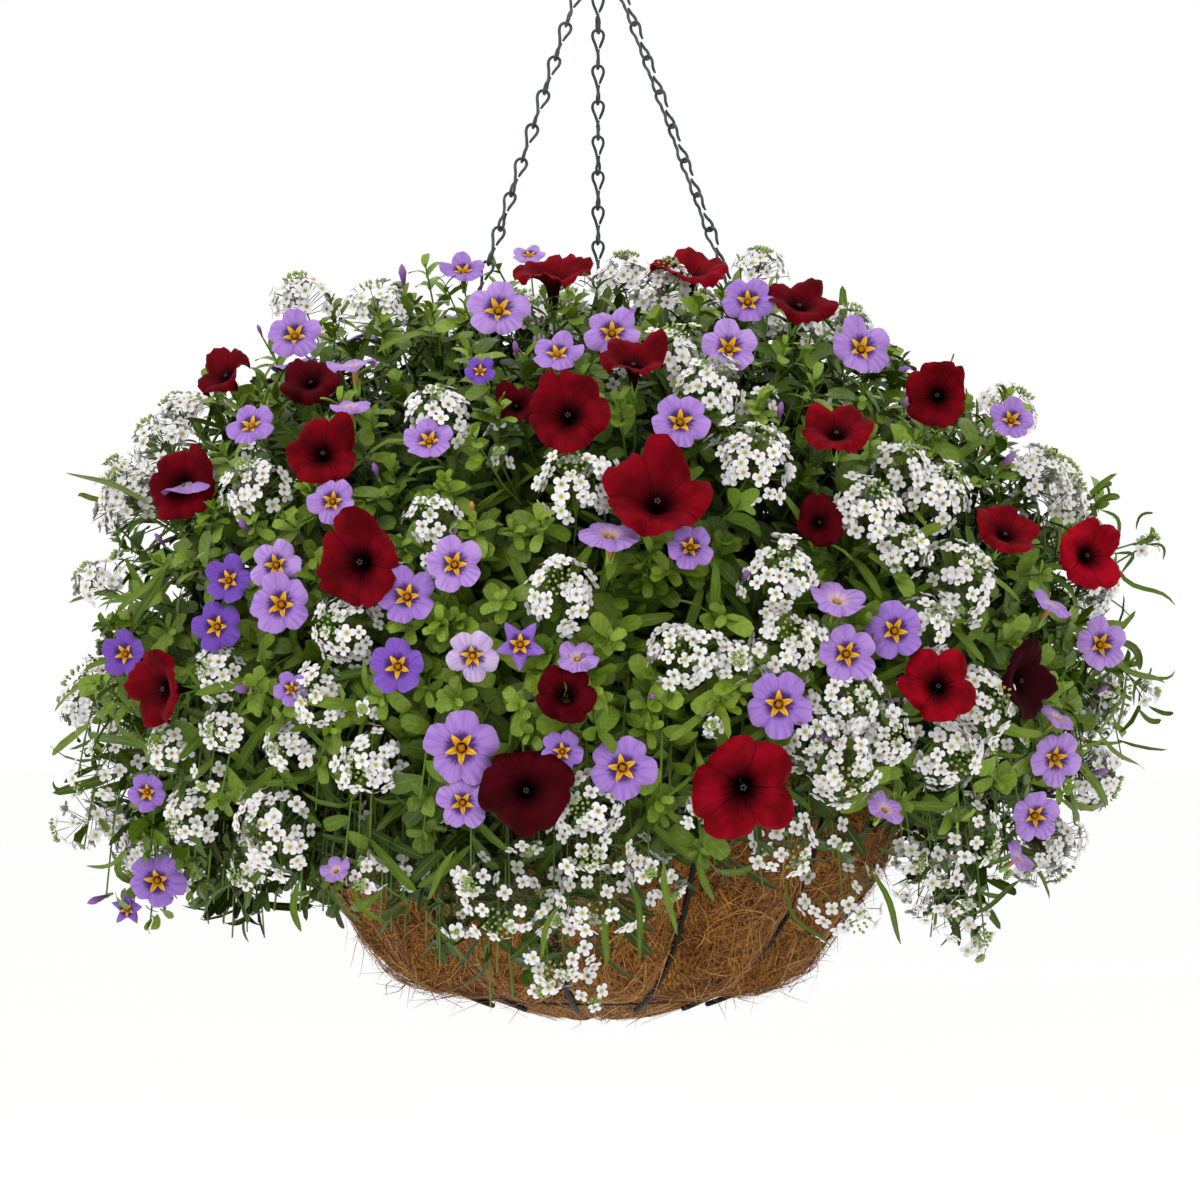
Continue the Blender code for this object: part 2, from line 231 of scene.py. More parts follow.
def radial_streaks(tree: bpy.types.NodeTree, per_turn: float, along: float) -> bpy.types.Node:
    """Noise drawn out from a bloom's middle to its edge, like veins.

    Args:
        tree: The material's node tree.
        per_turn: How fine the streaks are round the bloom.
        along: How often they change from the middle outwards.

    Returns:
        The noise node, whose first output is about 0.5 on average.
    """
    _, across, up, tint = pattern_parts(tree)
    flat = add_node(tree, "CombineXYZ", {0: across, 1: up})
    aim = add_node(tree, "VectorMath", {0: flat}, operation="NORMALIZE")
    wide = add_node(tree, "VectorMath", {0: aim, "Scale": per_turn}, operation="SCALE")
    far = add_node(tree, "VectorMath", {0: flat}, operation="LENGTH")
    depth = add_node(tree, "Math", {0: far.outputs["Value"], 1: along, 2: tint}, operation="MULTIPLY_ADD")
    spot = add_node(tree, "VectorMath", {0: wide, 1: add_node(tree, "CombineXYZ", {2: depth})}, operation="ADD")
    return add_node(tree, "TexNoise", {"Vector": spot, "Scale": 1.0, "Detail": 2.0})


@dataclass(frozen=True)
class CoatedWire(Finish):
    """Plastic-coated or painted steel wire: a dark satin skin with dust and faint mottling."""

    dark_hex: str = "#050505"
    light_hex: str = "#121313"
    mottle_mm: float = 6.0

    def paint(self, tree: bpy.types.NodeTree) -> tuple:
        """A slow mottle between the two tones, with a fine orange-peel relief."""
        place = add_node(tree, "TexCoord").outputs["Object"]
        mottle = add_node(tree, "TexNoise", {"Vector": place, "Scale": 1000 / self.mottle_mm, "Detail": 4.0})
        colour = add_node(tree, "ValToRGB", {0: mottle}, [(0.35, self.dark_hex), (0.7, self.light_hex)])
        return colour, mottle


@dataclass(frozen=True)
class CoirMat(Finish):
    """Matted coconut fibre: golden brown streaks crossing at all angles, with the gaps between them painted dark as
    shade.
    """

    streak_mm: float = 1.3

    def paint(self, tree: bpy.types.NodeTree) -> tuple:
        """Crossed stretched noises: the brightest fibre wins, and the low values between fibres are painted dark as
        shade in the gaps.
        """
        place = add_node(tree, "TexCoord").outputs["Object"]
        layers = []
        for i, turn in enumerate((0.3, 1.1, 1.9, 2.7)):
            facing = add_node(tree, "Mapping", {0: place, "Rotation": (turn, 0.9 * i, turn),
                                                "Scale": (1.0, 0.12, 0.6)})
            layers.append(add_node(tree, "TexNoise", {"Vector": facing, "Scale": 1000 / self.streak_mm,
                                                      "Detail": 2.0, "Distortion": 0.4}))
        top = layers[0]
        for layer in layers[1:]:
            top = add_node(tree, "Math", {0: top, 1: layer}, operation="MAXIMUM")
        # The darkest stop is painted shade in the gaps between fibres; the lighter stops are the fibres' own browns.
        stops = [(0.49, "#3C220A"), (0.55, "#6E4418"), (0.62, "#966329"), (0.74, "#B68646")]
        streaks = add_node(tree, "ValToRGB", {0: top}, stops)
        patch = add_node(tree, "TexNoise", {"Vector": place, "Scale": 45.0, "Detail": 2.0})
        shade = add_node(tree, "ValToRGB", {0: patch}, [(0.35, "#B0A294"), (0.65, "#FFFFFF")])
        links = {0: 1.0, 1: streaks, 2: shade}
        return add_node(tree, "MixRGB", links, blend_type="MULTIPLY"), top


@dataclass(frozen=True)
class CoirStrand(Finish):
    """A single loose coir fibre: each has its own brown, from straw to rust."""

    def paint(self, tree: bpy.types.NodeTree) -> tuple:
        """One tone for each fibre from its tint."""
        tint = pattern_parts(tree)[3]
        stops = [(0.0, "#44270D"), (0.3, "#74481C"), (0.65, "#9C692D"), (1.0, "#C08E4B")]
        return add_node(tree, "ValToRGB", {0: tint}, stops), None


@dataclass(frozen=True)
class PottingMix(Finish):
    """Moist peat-like potting mix: near-black crumbs whose pale middles are a painted highlight and whose gaps are
    painted shade.
    """

    crumb_mm: float = 2.5

    def paint(self, tree: bpy.types.NodeTree) -> tuple:
        """Crumbs from a cell pattern: their tops painted lighter as a highlight, the gaps between them painted darker
        as shade.
        """
        place = add_node(tree, "TexCoord").outputs["Object"]
        crumbs = add_node(tree, "TexVoronoi", {"Vector": place, "Scale": 1000 / self.crumb_mm})
        # Light crumb middles are a painted highlight, dark cell edges painted shade in the gaps between crumbs.
        stops = [(0.0, "#4A3526"), (0.35, "#2B1D14"), (0.8, "#150D09")]
        return add_node(tree, "ValToRGB", {0: crumbs}, stops), crumbs


@dataclass(frozen=True)
class LeafBlade(Finish):
    """A leaf's upper skin: greens that differ from leaf to leaf and darken as painted shade deep in the canopy, a pale
    midrib and soft side veins.
    """

    old_and_shaded_hex: str = "#2C4A22"
    grown_hex: str = "#3F6B2B"
    young_hex: str = "#6FA03C"
    midrib_hex: str = "#9DBB6A"
    midrib_width: float = 0.10
    vein_count: float = 7.0

    def paint(self, tree: bpy.types.NodeTree) -> tuple:
        """Tint picks the green, from the green of old and painted-shade leaves to the young one; the flat coordinates
        draw midrib and veins.
        """
        carried, across, along, tint = pattern_parts(tree)
        # The darkest green stands for old leaves and for painted shade on leaves deep in the canopy and below the rim.
        stops = [(0.0, self.old_and_shaded_hex), (0.45, self.grown_hex), (0.85, self.young_hex), (1.0, self.young_hex)]
        base = add_node(tree, "ValToRGB", {0: tint}, stops)
        side = add_node(tree, "Math", {0: across}, operation="ABSOLUTE")
        slant = add_node(tree, "Math", {0: side, 1: -0.22, 2: along}, operation="MULTIPLY_ADD")
        waves = add_node(tree, "Math", {0: slant, 1: self.vein_count * math.tau}, operation="MULTIPLY")
        veins = add_node(tree, "Math", {0: waves}, operation="COSINE")
        mottle = add_node(tree, "TexNoise", {"Vector": carried.outputs["Vector"], "Scale": 3.0, "Detail": 3.0})
        relief = add_node(tree, "Math", {0: veins, 1: 0.25, 2: mottle}, operation="MULTIPLY_ADD")
        shade = add_node(tree, "ValToRGB", {0: relief}, [(0.25, "#E6E8E0"), (0.8, "#FFFFFF")])
        body = add_node(tree, "MixRGB", {0: 1.0, 1: base, 2: shade}, blend_type="MULTIPLY")
        spread = {0: side, 1: 0.0, 2: self.midrib_width, 3: 0.55, 4: 0.0}
        rib = add_node(tree, "MapRange", spread)
        colour = add_node(tree, "MixRGB", {0: rib, 1: body, 2: linear(self.midrib_hex)})
        return colour, relief


@dataclass(frozen=True)
class GreenStem(Finish):
    """Soft green stem, browner and thicker towards the crown."""

    base_hex: str = "#5C5A2E"
    tip_hex: str = "#7FA04A"

    def paint(self, tree: bpy.types.NodeTree) -> tuple:
        """A blend from base to tip, shifted a little from stem to stem."""
        _, _, along, tint = pattern_parts(tree)
        mixed = add_node(tree, "Math", {0: tint, 1: 0.3, 2: along}, operation="MULTIPLY_ADD")
        return add_node(tree, "ValToRGB", {0: mixed}, [(0.2, self.base_hex), (1.0, self.tip_hex)]), None


@dataclass(frozen=True)
class StarPetal(Finish):
    """Calibrachoa limb: lavender with fine veins, a dark throat and a yellow five-point star."""

    petal_stops: tuple = ((0.0, "#6A42A4"), (0.14, "#8056B2"), (0.24, "#9871BE"), (0.6, "#A981C6"),
                          (0.9, "#B894D0"), (1.0, "#C6B0D0"))

    def paint(self, tree: bpy.types.NodeTree) -> tuple:
        """Star, throat and veins, all from the polar pattern."""
        reach, off_ray, tint = polar_parts(tree, 5)
        streaks = radial_streaks(tree, 7.0, 1.2)
        petal = add_node(tree, "ValToRGB", {0: tint}, list(self.petal_stops))
        glow = add_node(tree, "MapRange", {0: reach, 1: 0.30, 2: 0.95, 3: 0.70, 4: 1.0})
        pale = add_node(tree, "MapRange", {0: streaks, 1: 0.3, 2: 0.6, 3: 0.60, 4: 1.0})
        level = add_node(tree, "Math", {0: glow, 1: pale}, operation="MULTIPLY")
        deep = add_node(tree, "MixRGB", {0: 1.0, 1: petal, 2: linear("#7A4FC4")}, blend_type="MULTIPLY")
        body = add_node(tree, "MixRGB", {0: level, 1: deep, 2: petal})
        aside = add_node(tree, "Math", {0: off_ray, 1: reach}, operation="MULTIPLY")
        fade = add_node(tree, "MapRange", {0: reach, 1: 0.35, 2: 1.0, 3: 0.85, 4: 0.2})
        line = add_node(tree, "MapRange", {0: aside, 1: 0.005, 2: 0.030, 3: fade, 4: 0.0})
        veined = add_node(tree, "MixRGB", {0: line, 1: body, 2: linear("#5A2E86")})
        edge = add_node(tree, "Math", {0: streaks, 1: 0.46, 2: 0.17}, operation="MULTIPLY_ADD")
        inside = add_node(tree, "Math", {0: edge, 1: reach}, operation="SUBTRACT")
        throat = add_node(tree, "MapRange", {0: inside, 1: -0.10, 2: 0.06, 4: 0.92})
        dark = add_node(tree, "MixRGB", {0: throat, 1: veined, 2: linear("#36124C")})
        on_ray = add_node(tree, "Math", {0: 1.0, 1: off_ray}, operation="SUBTRACT")
        point = add_node(tree, "Math", {0: on_ray, 1: 1.6}, operation="POWER")
        tip = add_node(tree, "Math", {0: point, 1: 0.29, 2: 0.17}, operation="MULTIPLY_ADD")
        star_gap = add_node(tree, "Math", {0: tip, 1: reach}, operation="SUBTRACT")
        star = add_node(tree, "MapRange", {0: star_gap, 1: -0.008, 2: 0.008})
        stops = [(0.0, "#6A4C0A"), (0.07, "#9A700E"), (0.14, "#CA9210"), (0.3, "#E4AE18")]
        gold = add_node(tree, "ValToRGB", {0: reach}, stops)
        line = add_node(tree, "MapRange", {0: streaks, 1: 0.42, 2: 0.52, 3: 0.55, 4: 0.0})
        lined = add_node(tree, "MixRGB", {0: line, 1: gold, 2: linear("#9A5A10")})
        starred = add_node(tree, "MixRGB", {0: star, 1: dark, 2: lined})
        return starred, streaks


@dataclass(frozen=True)
class TubePetal(Finish):
    """Calibrachoa bloom from outside: a tawny streaked tube that pales, then turns lavender."""

    def paint(self, tree: bpy.types.NodeTree) -> tuple:
        """A ramp from the tube's foot to the limb's edge, with red-brown streaks on the tube."""
        reach, _, _ = polar_parts(tree, 5)
        streaks = radial_streaks(tree, 7.0, 1.2)
        stops = [(0.02, "#A9812F"), (0.12, "#CFA052"), (0.22, "#C9AEB8"), (0.45, "#A683C6"), (1.0, "#A07CC6")]
        skin = add_node(tree, "ValToRGB", {0: reach}, stops)
        line = add_node(tree, "MapRange", {0: streaks, 1: 0.40, 2: 0.52, 3: 0.45, 4: 0.0})
        return add_node(tree, "MixRGB", {0: line, 1: skin, 2: linear("#7A4A6A")}), streaks


@dataclass(frozen=True)
class VelvetPetal(Finish):
    """Petunia limb: velvety crimson in lit and painted-shade tones, black-red throat, dark veins that spread from it.
    """

    lit_hex: str = "#700211"
    deep_and_shaded_hex: str = "#2E0008"
    throat_hex: str = "#1C0206"

    def paint(self, tree: bpy.types.NodeTree) -> tuple:
        """Throat, veins, painted shade of the folds and the darker ray between lobes as painted shade of its crease,
        from the polar pattern.
        """
        reach, off_ray, tint = polar_parts(tree, 5)
        streaks = radial_streaks(tree, 11.0, 0.8)
        # The tint ramp runs from a painted-shade crimson through the lit one to the brightest lit one, and also spreads
        # the blooms' own tone.
        stops = [(0.0, self.deep_and_shaded_hex), (0.5, self.lit_hex), (1.0, "#A2061E")]
        base = add_node(tree, "ValToRGB", {0: tint}, stops)
        mottle = add_node(tree, "MapRange", {0: streaks, 1: 0.3, 2: 0.62, 3: 0.62, 4: 1.0})
        carried = pattern_parts(tree)[0].outputs["Vector"]
        # A slow cloud darkens broad patches of the limb: painted shade of its folds.
        slow = add_node(tree, "TexNoise", {"Vector": carried, "Scale": 1.7, "Detail": 3.0})
        cloud = add_node(tree, "MapRange", {0: slow, 1: 0.36, 2: 0.58, 3: 0.25, 4: 1.0})
        level = add_node(tree, "Math", {0: mottle, 1: cloud}, operation="MULTIPLY")
        deep = add_node(tree, "MixRGB", {0: 1.0, 1: base, 2: linear("#98606C")}, blend_type="MULTIPLY")
        body = add_node(tree, "MixRGB", {0: level, 1: deep, 2: base})
        # The dark line along each ray between two lobes is painted shade in the crease where they meet.
        aside = add_node(tree, "Math", {0: off_ray, 1: reach}, operation="MULTIPLY")
        fade = add_node(tree, "MapRange", {0: reach, 1: 0.3, 2: 1.0, 3: 0.8, 4: 0.15})
        line = add_node(tree, "MapRange", {0: aside, 1: 0.005, 2: 0.05, 3: fade, 4: 0.0})
        veined = add_node(tree, "MixRGB", {0: line, 1: body, 2: linear("#2E0007")})
        edge = add_node(tree, "Math", {0: streaks, 1: 0.60, 2: -0.06}, operation="MULTIPLY_ADD")
        inside = add_node(tree, "Math", {0: edge, 1: reach}, operation="SUBTRACT")
        throat = add_node(tree, "MapRange", {0: inside, 1: -0.26, 2: 0.08, 4: 0.95})
        return add_node(tree, "MixRGB", {0: throat, 1: veined, 2: linear(self.throat_hex)}), streaks


@dataclass(frozen=True)
class WhitePetal(Finish):
    """Alyssum floret: clean white petals round a small olive to brown eye."""

    def paint(self, tree: bpy.types.NodeTree) -> tuple:
        """The eye's tone differs from floret to floret; a grey-green shade rings it."""
        reach, _, tint = polar_parts(tree, 4)
        eye = add_node(tree, "ValToRGB", {0: tint}, [(0.2, "#B0A62C"), (0.5, "#968A3A"), (0.8, "#7C5E40")])
        fall = add_node(tree, "MapRange", {0: reach, 1: 0.17, 2: 0.27, 3: 0.0, 4: 1.0})
        stops = [(0.0, "#A8A878"), (0.28, "#C4C2AE"), (0.5, "#DDDADC"), (1.0, "#E4E2E5")]
        petal = add_node(tree, "ValToRGB", {0: reach}, stops)
        return add_node(tree, "MixRGB", {0: fall, 1: eye, 2: petal}), None


@dataclass(frozen=True)
class PlainSkin(Finish):
    """A small part's skin, such as a bud, anther or sepal: one hue that drifts from light to dark."""

    from_hex: str = "#6F7F45"
    to_hex: str = "#9DB060"

    def paint(self, tree: bpy.types.NodeTree) -> tuple:
        """Tint and length along the part pick the tone."""
        _, _, along, tint = pattern_parts(tree)
        mixed = add_node(tree, "Math", {0: tint, 1: 0.5, 2: along}, operation="MULTIPLY_ADD")
        return add_node(tree, "ValToRGB", {0: mixed}, [(0.1, self.from_hex), (1.0, self.to_hex)]), None


@dataclass(frozen=True)
class StudioPaper(Finish):
    """Matt pale backdrop paper, faintly clouded."""

    def paint(self, tree: bpy.types.NodeTree) -> tuple:
        """Two near whites in a very slow cloud."""
        place = add_node(tree, "TexCoord").outputs["Object"]
        cloud = add_node(tree, "TexNoise", {"Vector": place, "Scale": 0.8})
        return add_node(tree, "ValToRGB", {0: cloud}, [(0.3, "#FDFDFC"), (0.7, "#FEFEFE")]), None


BLACK_WIRE = CoatedWire("black coated wire", roughness=0.5, relief_mm=0.15, gloss=0.2)
CHAIN_STEEL = CoatedWire("green-grey painted chain", roughness=0.45, relief_mm=0.1,
                         dark_hex="#212B29", light_hex="#44524F", mottle_mm=4.0)
COIR = CoirMat("coir mat", roughness=0.85, relief_mm=1.2, gloss=0.15)
COIR_STRAND = CoirStrand("coir strand", roughness=0.6, gloss=0.2)
SOIL = PottingMix("potting mix", roughness=0.95, relief_mm=1.5)
STEM = GreenStem("green stem", roughness=0.5, gloss=0.2, base_hex="#4E4C24", tip_hex="#5E7C2E")
ALYSSUM_STEM = GreenStem("alyssum stem", roughness=0.55, gloss=0.2, base_hex="#4E4424", tip_hex="#66803C")
ALYSSUM_LEAF = LeafBlade("alyssum leaf", roughness=0.5, relief_mm=0.1, gloss=0.2, old_and_shaded_hex="#2B3B0A",
                         grown_hex="#4C6511", young_hex="#6E8526", midrib_hex="#768E3A", midrib_width=0.16,
                         vein_count=3.0)
CALIBRACHOA_LEAF = LeafBlade("calibrachoa leaf", roughness=0.4, relief_mm=0.12, gloss=0.3, old_and_shaded_hex="#31420A",
                             grown_hex="#526B12", young_hex="#7C962A", midrib_hex="#869C3E", midrib_width=0.07,
                             vein_count=4.0)
PETUNIA_LEAF = LeafBlade("petunia leaf", roughness=0.5, relief_mm=0.3, gloss=0.2, old_and_shaded_hex="#2C3E0A",
                         grown_hex="#4A6511", young_hex="#647F20", midrib_hex="#6E8834", midrib_width=0.06,
                         vein_count=6.0)
LAVENDER = StarPetal("calibrachoa petal", roughness=0.6, relief_mm=0.12, gloss=0.2)
LAVENDER_OUTSIDE = TubePetal("calibrachoa outer petal", roughness=0.6, relief_mm=0.12, gloss=0.2)
CRIMSON = VelvetPetal("petunia petal", roughness=0.6, relief_mm=0.2, gloss=0.04)
WHITE = WhitePetal("alyssum petal", roughness=0.6, gloss=0.2)
BUD_GREEN = PlainSkin("green bud", roughness=0.55, from_hex="#56703A", to_hex="#93A85A")
BUD_PURPLE = PlainSkin("purple bud", roughness=0.55, from_hex="#2E1238", to_hex="#8A5C9E")
SEPAL = PlainSkin("green sepal", roughness=0.5, from_hex="#47702B", to_hex="#7EAE45")
ANTHER = PlainSkin("dark anther", roughness=0.7, from_hex="#1E0E12", to_hex="#4A3A3E")
DRY = PlainSkin("dry husk", roughness=0.8, from_hex="#8A5426", to_hex="#C98F50")
PAPER = StudioPaper("backdrop paper", roughness=0.9)


# Mesh shapes


@dataclass
class Shape:
    """A small mesh that is placed many times, with a flat pattern for its material."""

    points: np.ndarray
    faces: np.ndarray
    pattern: np.ndarray
    slots: np.ndarray

    @classmethod
    def grid(cls, rows: np.ndarray, pattern: np.ndarray, wrap: bool = False, slot: int = 0) -> "Shape":
        """A sheet of quads.

        Args:
            rows: Points as rows, columns and coordinates.
            pattern: Two flat coordinates for each point, laid out the same way.
            wrap: Whether the last column joins the first.
            slot: The material slot.

        Returns:
            The sheet.
        """
        count, across = rows.shape[:2]
        index = np.arange(count * across).reshape(count, across)
        if wrap:
            index = np.concatenate([index, index[:, :1]], axis=1)
        faces = np.stack([index[:-1, :-1], index[:-1, 1:], index[1:, 1:], index[1:, :-1]], axis=-1).reshape(-1, 4)
        return cls(rows.reshape(-1, 3), faces, pattern.reshape(-1, 2), np.full(len(faces), slot))

    @classmethod
    def joined(cls, shapes: list["Shape"]) -> "Shape":
        """Several shapes as one."""
        starts = np.cumsum([0] + [len(s.points) for s in shapes[:-1]])
        faces = [np.where(s.faces < 0, -1, s.faces + start) for s, start in zip(shapes, starts)]
        return cls(np.concatenate([s.points for s in shapes]), np.concatenate(faces),
                   np.concatenate([s.pattern for s in shapes]), np.concatenate([s.slots for s in shapes]))

    def moved(self, turn: np.ndarray, place: np.ndarray, size: float = 1.0) -> "Shape":
        """The shape turned, scaled and moved."""
        return Shape(self.points * size @ turn.T + place, self.faces, self.pattern, self.slots)

    def in_slot(self, slot: int) -> "Shape":
        """The shape with another material slot."""
        return Shape(self.points, self.faces, self.pattern, np.full(len(self.faces), slot))


class MeshPool:
    """Gathers placed shapes and tubes, and makes one mesh object of them."""

    def __init__(self) -> None:
        """Starts empty."""
        self.points: list[np.ndarray] = []
        self.faces: list[np.ndarray] = []
        self.pattern: list[np.ndarray] = []
        self.slots: list[np.ndarray] = []
        self.count = 0

    def add(self, shape: Shape, turns: np.ndarray, places: np.ndarray, sizes: np.ndarray,
            tints: np.ndarray) -> None:
        """Places a shape many times.

        Args:
            shape: The shape.
            turns: One rotation matrix per copy.
            places: One point per copy.
            sizes: One scale per copy, or one scale per axis and copy.
            tints: One tint from 0 to 1 per copy.
        """
        copies = len(places)
        if not copies:
            return
        sizes = np.asarray(sizes, float)
        scaled = shape.points[None] * (sizes[:, None, None] if sizes.ndim == 1 else sizes[:, None, :])
        self.points.append((np.einsum("kij,knj->kni", turns, scaled) + places[:, None]).reshape(-1, 3))
        size = len(shape.points)
        starts = self.count + np.arange(copies)[:, None, None] * size
        self.faces.append(np.where(shape.faces[None] < 0, -1, shape.faces[None] + starts).reshape(-1, 4))
        flat = np.broadcast_to(shape.pattern[None], (copies, size, 2))
        tint = np.broadcast_to(np.asarray(tints, float)[:, None, None], (copies, size, 1))
        self.pattern.append(np.concatenate([flat, tint], axis=2).reshape(-1, 3))
        self.slots.append(np.tile(shape.slots, copies))
        self.count += copies * size

    def add_one(self, shape: Shape, tint: float = 0.5) -> None:
        """Adds a shape once, where it is."""
        self.add(shape, np.eye(3)[None], np.zeros((1, 3)), np.ones(1), np.array([tint]))

    def add_tubes(self, paths: np.ndarray, radii: np.ndarray, sides: int, tints: np.ndarray, slot: int = 0,
                  closed: bool = False, across: np.ndarray | None = None) -> None:
        """Adds round tubes along paths that all have the same number of points.

        Args:
            paths: Tubes, points and coordinates.
            radii: Radius at each point of each tube.
            sides: How many sides the tubes have; two make a flat strip.
            tints: One tint per tube.
            slot: The material slot.
            closed: Whether each tube's end meets its start.
            across: Which way the first side of each tube looks, where that matters.
        """
        tubes, steps = paths.shape[:2]
        if closed:
            aim = unit(np.roll(paths, -1, axis=1) - np.roll(paths, 1, axis=1))
        else:
            aim = unit(np.gradient(paths, axis=1))
        start = across
        if across is None:
            start = np.where(np.abs(aim[:, 0, 2:]) < 0.8, [[0.0, 0.0, 1.0]], [[1.0, 0.0, 0.0]])
        side = np.empty_like(paths)
        side[:, 0] = unit(start - np.sum(start * aim[:, 0], axis=1, keepdims=True) * aim[:, 0])
        for i in range(1, steps):
            last = side[:, i - 1]
            side[:, i] = unit(last - np.sum(last * aim[:, i], axis=1, keepdims=True) * aim[:, i])
        other = np.cross(aim, side)
        lag = np.zeros((tubes, 1))
        if closed:
            back = unit(side[:, -1] - np.sum(side[:, -1] * aim[:, 0], axis=1, keepdims=True) * aim[:, 0])
            lag = np.arctan2(np.sum(back * other[:, 0], axis=1), np.sum(back * side[:, 0], axis=1))[:, None]
        angles = np.arange(sides) * math.tau / sides
        angles = angles[None, None, :] - (lag * np.linspace(0, 1, steps)[None])[:, :, None]
        ring = np.cos(angles)[..., None] * side[:, :, None] + np.sin(angles)[..., None] * other[:, :, None]
        points = paths[:, :, None] + radii[:, :, None, None] * ring
        index = np.arange(steps * sides).reshape(steps, sides)
        if sides > 2:
            index = np.concatenate([index, index[:, :1]], axis=1)
        if closed:
            index = np.concatenate([index, index[:1]], axis=0)
        quads = np.stack([index[:-1, :-1], index[1:, :-1], index[1:, 1:], index[:-1, 1:]], axis=-1).reshape(-1, 4)
        size = steps * sides
        starts = self.count + np.arange(tubes)[:, None, None] * size
        self.points.append(points.reshape(-1, 3))
        self.faces.append((quads[None] + starts).reshape(-1, 4))
        pattern = np.empty((tubes, steps, sides, 3))
        pattern[..., 0] = (np.arange(sides) / sides)[None, None]
        pattern[..., 1] = np.linspace(0, 1, steps)[None, :, None]
        pattern[..., 2] = np.asarray(tints)[:, None, None]
        self.pattern.append(pattern.reshape(-1, 3))
        self.slots.append(np.full(tubes * len(quads), slot))
        self.count += tubes * size

    def make(self, name: str, finishes: list[Finish], body: str, slot: str, replaced: list[str]) -> bpy.types.Object:
        """Makes the mesh object and ties it to the frame.

        Args:
            name: The piece's name.
            finishes: One finish per material slot.
            body: The CAD body that it rides on.
            slot: The material slot's name; not used.
            replaced: The CAD nodes that it stands for.

        Returns:
            The object.
        """
        points = np.concatenate(self.points).astype(np.float32)
        faces = np.concatenate(self.faces)
        whole = faces >= 0
        totals = whole.sum(axis=1).astype(np.int32)
        corners = faces[whole].astype(np.int32)
        mesh = bpy.data.meshes.new(name)
        mesh.vertices.add(len(points))
        mesh.vertices.foreach_set("co", points.ravel())
        mesh.loops.add(len(corners))
        mesh.loops.foreach_set("vertex_index", corners)
        mesh.polygons.add(len(faces))
        mesh.polygons.foreach_set("loop_start", np.concatenate([[0], np.cumsum(totals)[:-1]]).astype(np.int32))
        mesh.polygons.foreach_set("loop_total", totals)
        mesh.polygons.foreach_set("use_smooth", np.ones(len(faces), bool))
        mesh.polygons.foreach_set("material_index", np.concatenate(self.slots).astype(np.int32))
        carried = mesh.attributes.new("pattern", "FLOAT_VECTOR", "POINT")
        carried.data.foreach_set("vector", np.concatenate(self.pattern).astype(np.float32).ravel())
        for finish in finishes:
            mesh.materials.append(finish.material())
        mesh.update(calc_edges=True)
        made = bpy.data.objects.new(name, mesh)
        bpy.context.scene.collection.objects.link(made)
        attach(made, body)
        if replaced:
            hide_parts(*replaced)
        LOG.info("%s: %d triangles", name, int((totals - 2).sum()))
        return made


# The basket and its hanger


@dataclass
class WireFrame:
    """The black wire basket: rim, hoop, base ring and ribs."""

    depth: float = 0.172
    fullness: float = 2.3
    rib_top: float = 0.004
    rib_foot: float = 0.1646
    sides: int = 10

    def profile(self, depth: np.ndarray | float, outward: np.ndarray | float = 0.0) -> tuple:
        """Radius and height of the frame's section.

        Args:
            depth: Depth below the rim.
            outward: How far the point is moved out along the section's normal.

        Returns:
            Radius, and height above the rim.
        """
        share = np.asarray(depth) / self.depth
        across = (1 - share**self.fullness) ** (1 / self.fullness)
        lean_out, lean_down = across ** (self.fullness - 1) / RIM_R, share ** (self.fullness - 1) / self.depth
        length = np.hypot(lean_out, lean_down)
        return RIM_R * across + outward * lean_out / length, -depth - outward * lean_down / length

    def ring(self, radius: float, height: float) -> np.ndarray:
        """A closed circle of points round the axis."""
        return np.array([[at(radius, a, height) for a in np.linspace(0, math.tau, 96, endpoint=False)]])

    def build(self) -> None:
        """Makes each wire as a piece that stands for its CAD node."""
        inset = -2 * RIB_WIRE_R - 0.0004
        hoops = [("rim_wire", "rim_ring", RIM_R, 0.0, RIM_WIRE_R)]
        for name, node, depth in (("hoop_wire", "middle_hoop", HOOP_DEPTH), ("base_wire", "base_ring", BASE_DEPTH)):
            radius, height = self.profile(depth, inset)
            hoops.append((name, node, float(radius), float(height), RIB_WIRE_R))
        for name, node, radius, height, wire in hoops:
            pool = MeshPool()
            path = self.ring(radius, height)
            pool.add_tubes(path, np.full(path.shape[:2], wire), self.sides, np.array([0.5]), closed=True)
            pool.make(name, [BLACK_WIRE], "basket", "black_wire", [node])
        for i in range(RIB_COUNT):
            azimuth = math.radians(FIRST_RIB_AZIMUTH + 30 * i)
            turn = np.linspace(0, 1, 34)
            depths = self.rib_top + (self.rib_foot - self.rib_top) * np.sin(turn * math.pi / 2) ** 1.2
            radii, heights = self.profile(depths)
            path = np.array([[at(r, azimuth, h) for r, h in zip(radii, heights)]])
            wire = np.full(path.shape[:2], RIB_WIRE_R * 0.85)
            wire[:, [0, -1]] *= 0.35
            pool = MeshPool()
            pool.add_tubes(path, wire, self.sides, np.array([0.5]))
            pool.make(f"rib_wire_{i + 1:02d}", [BLACK_WIRE], "basket", "black_wire", [f"rib_{i + 1:02d}"])


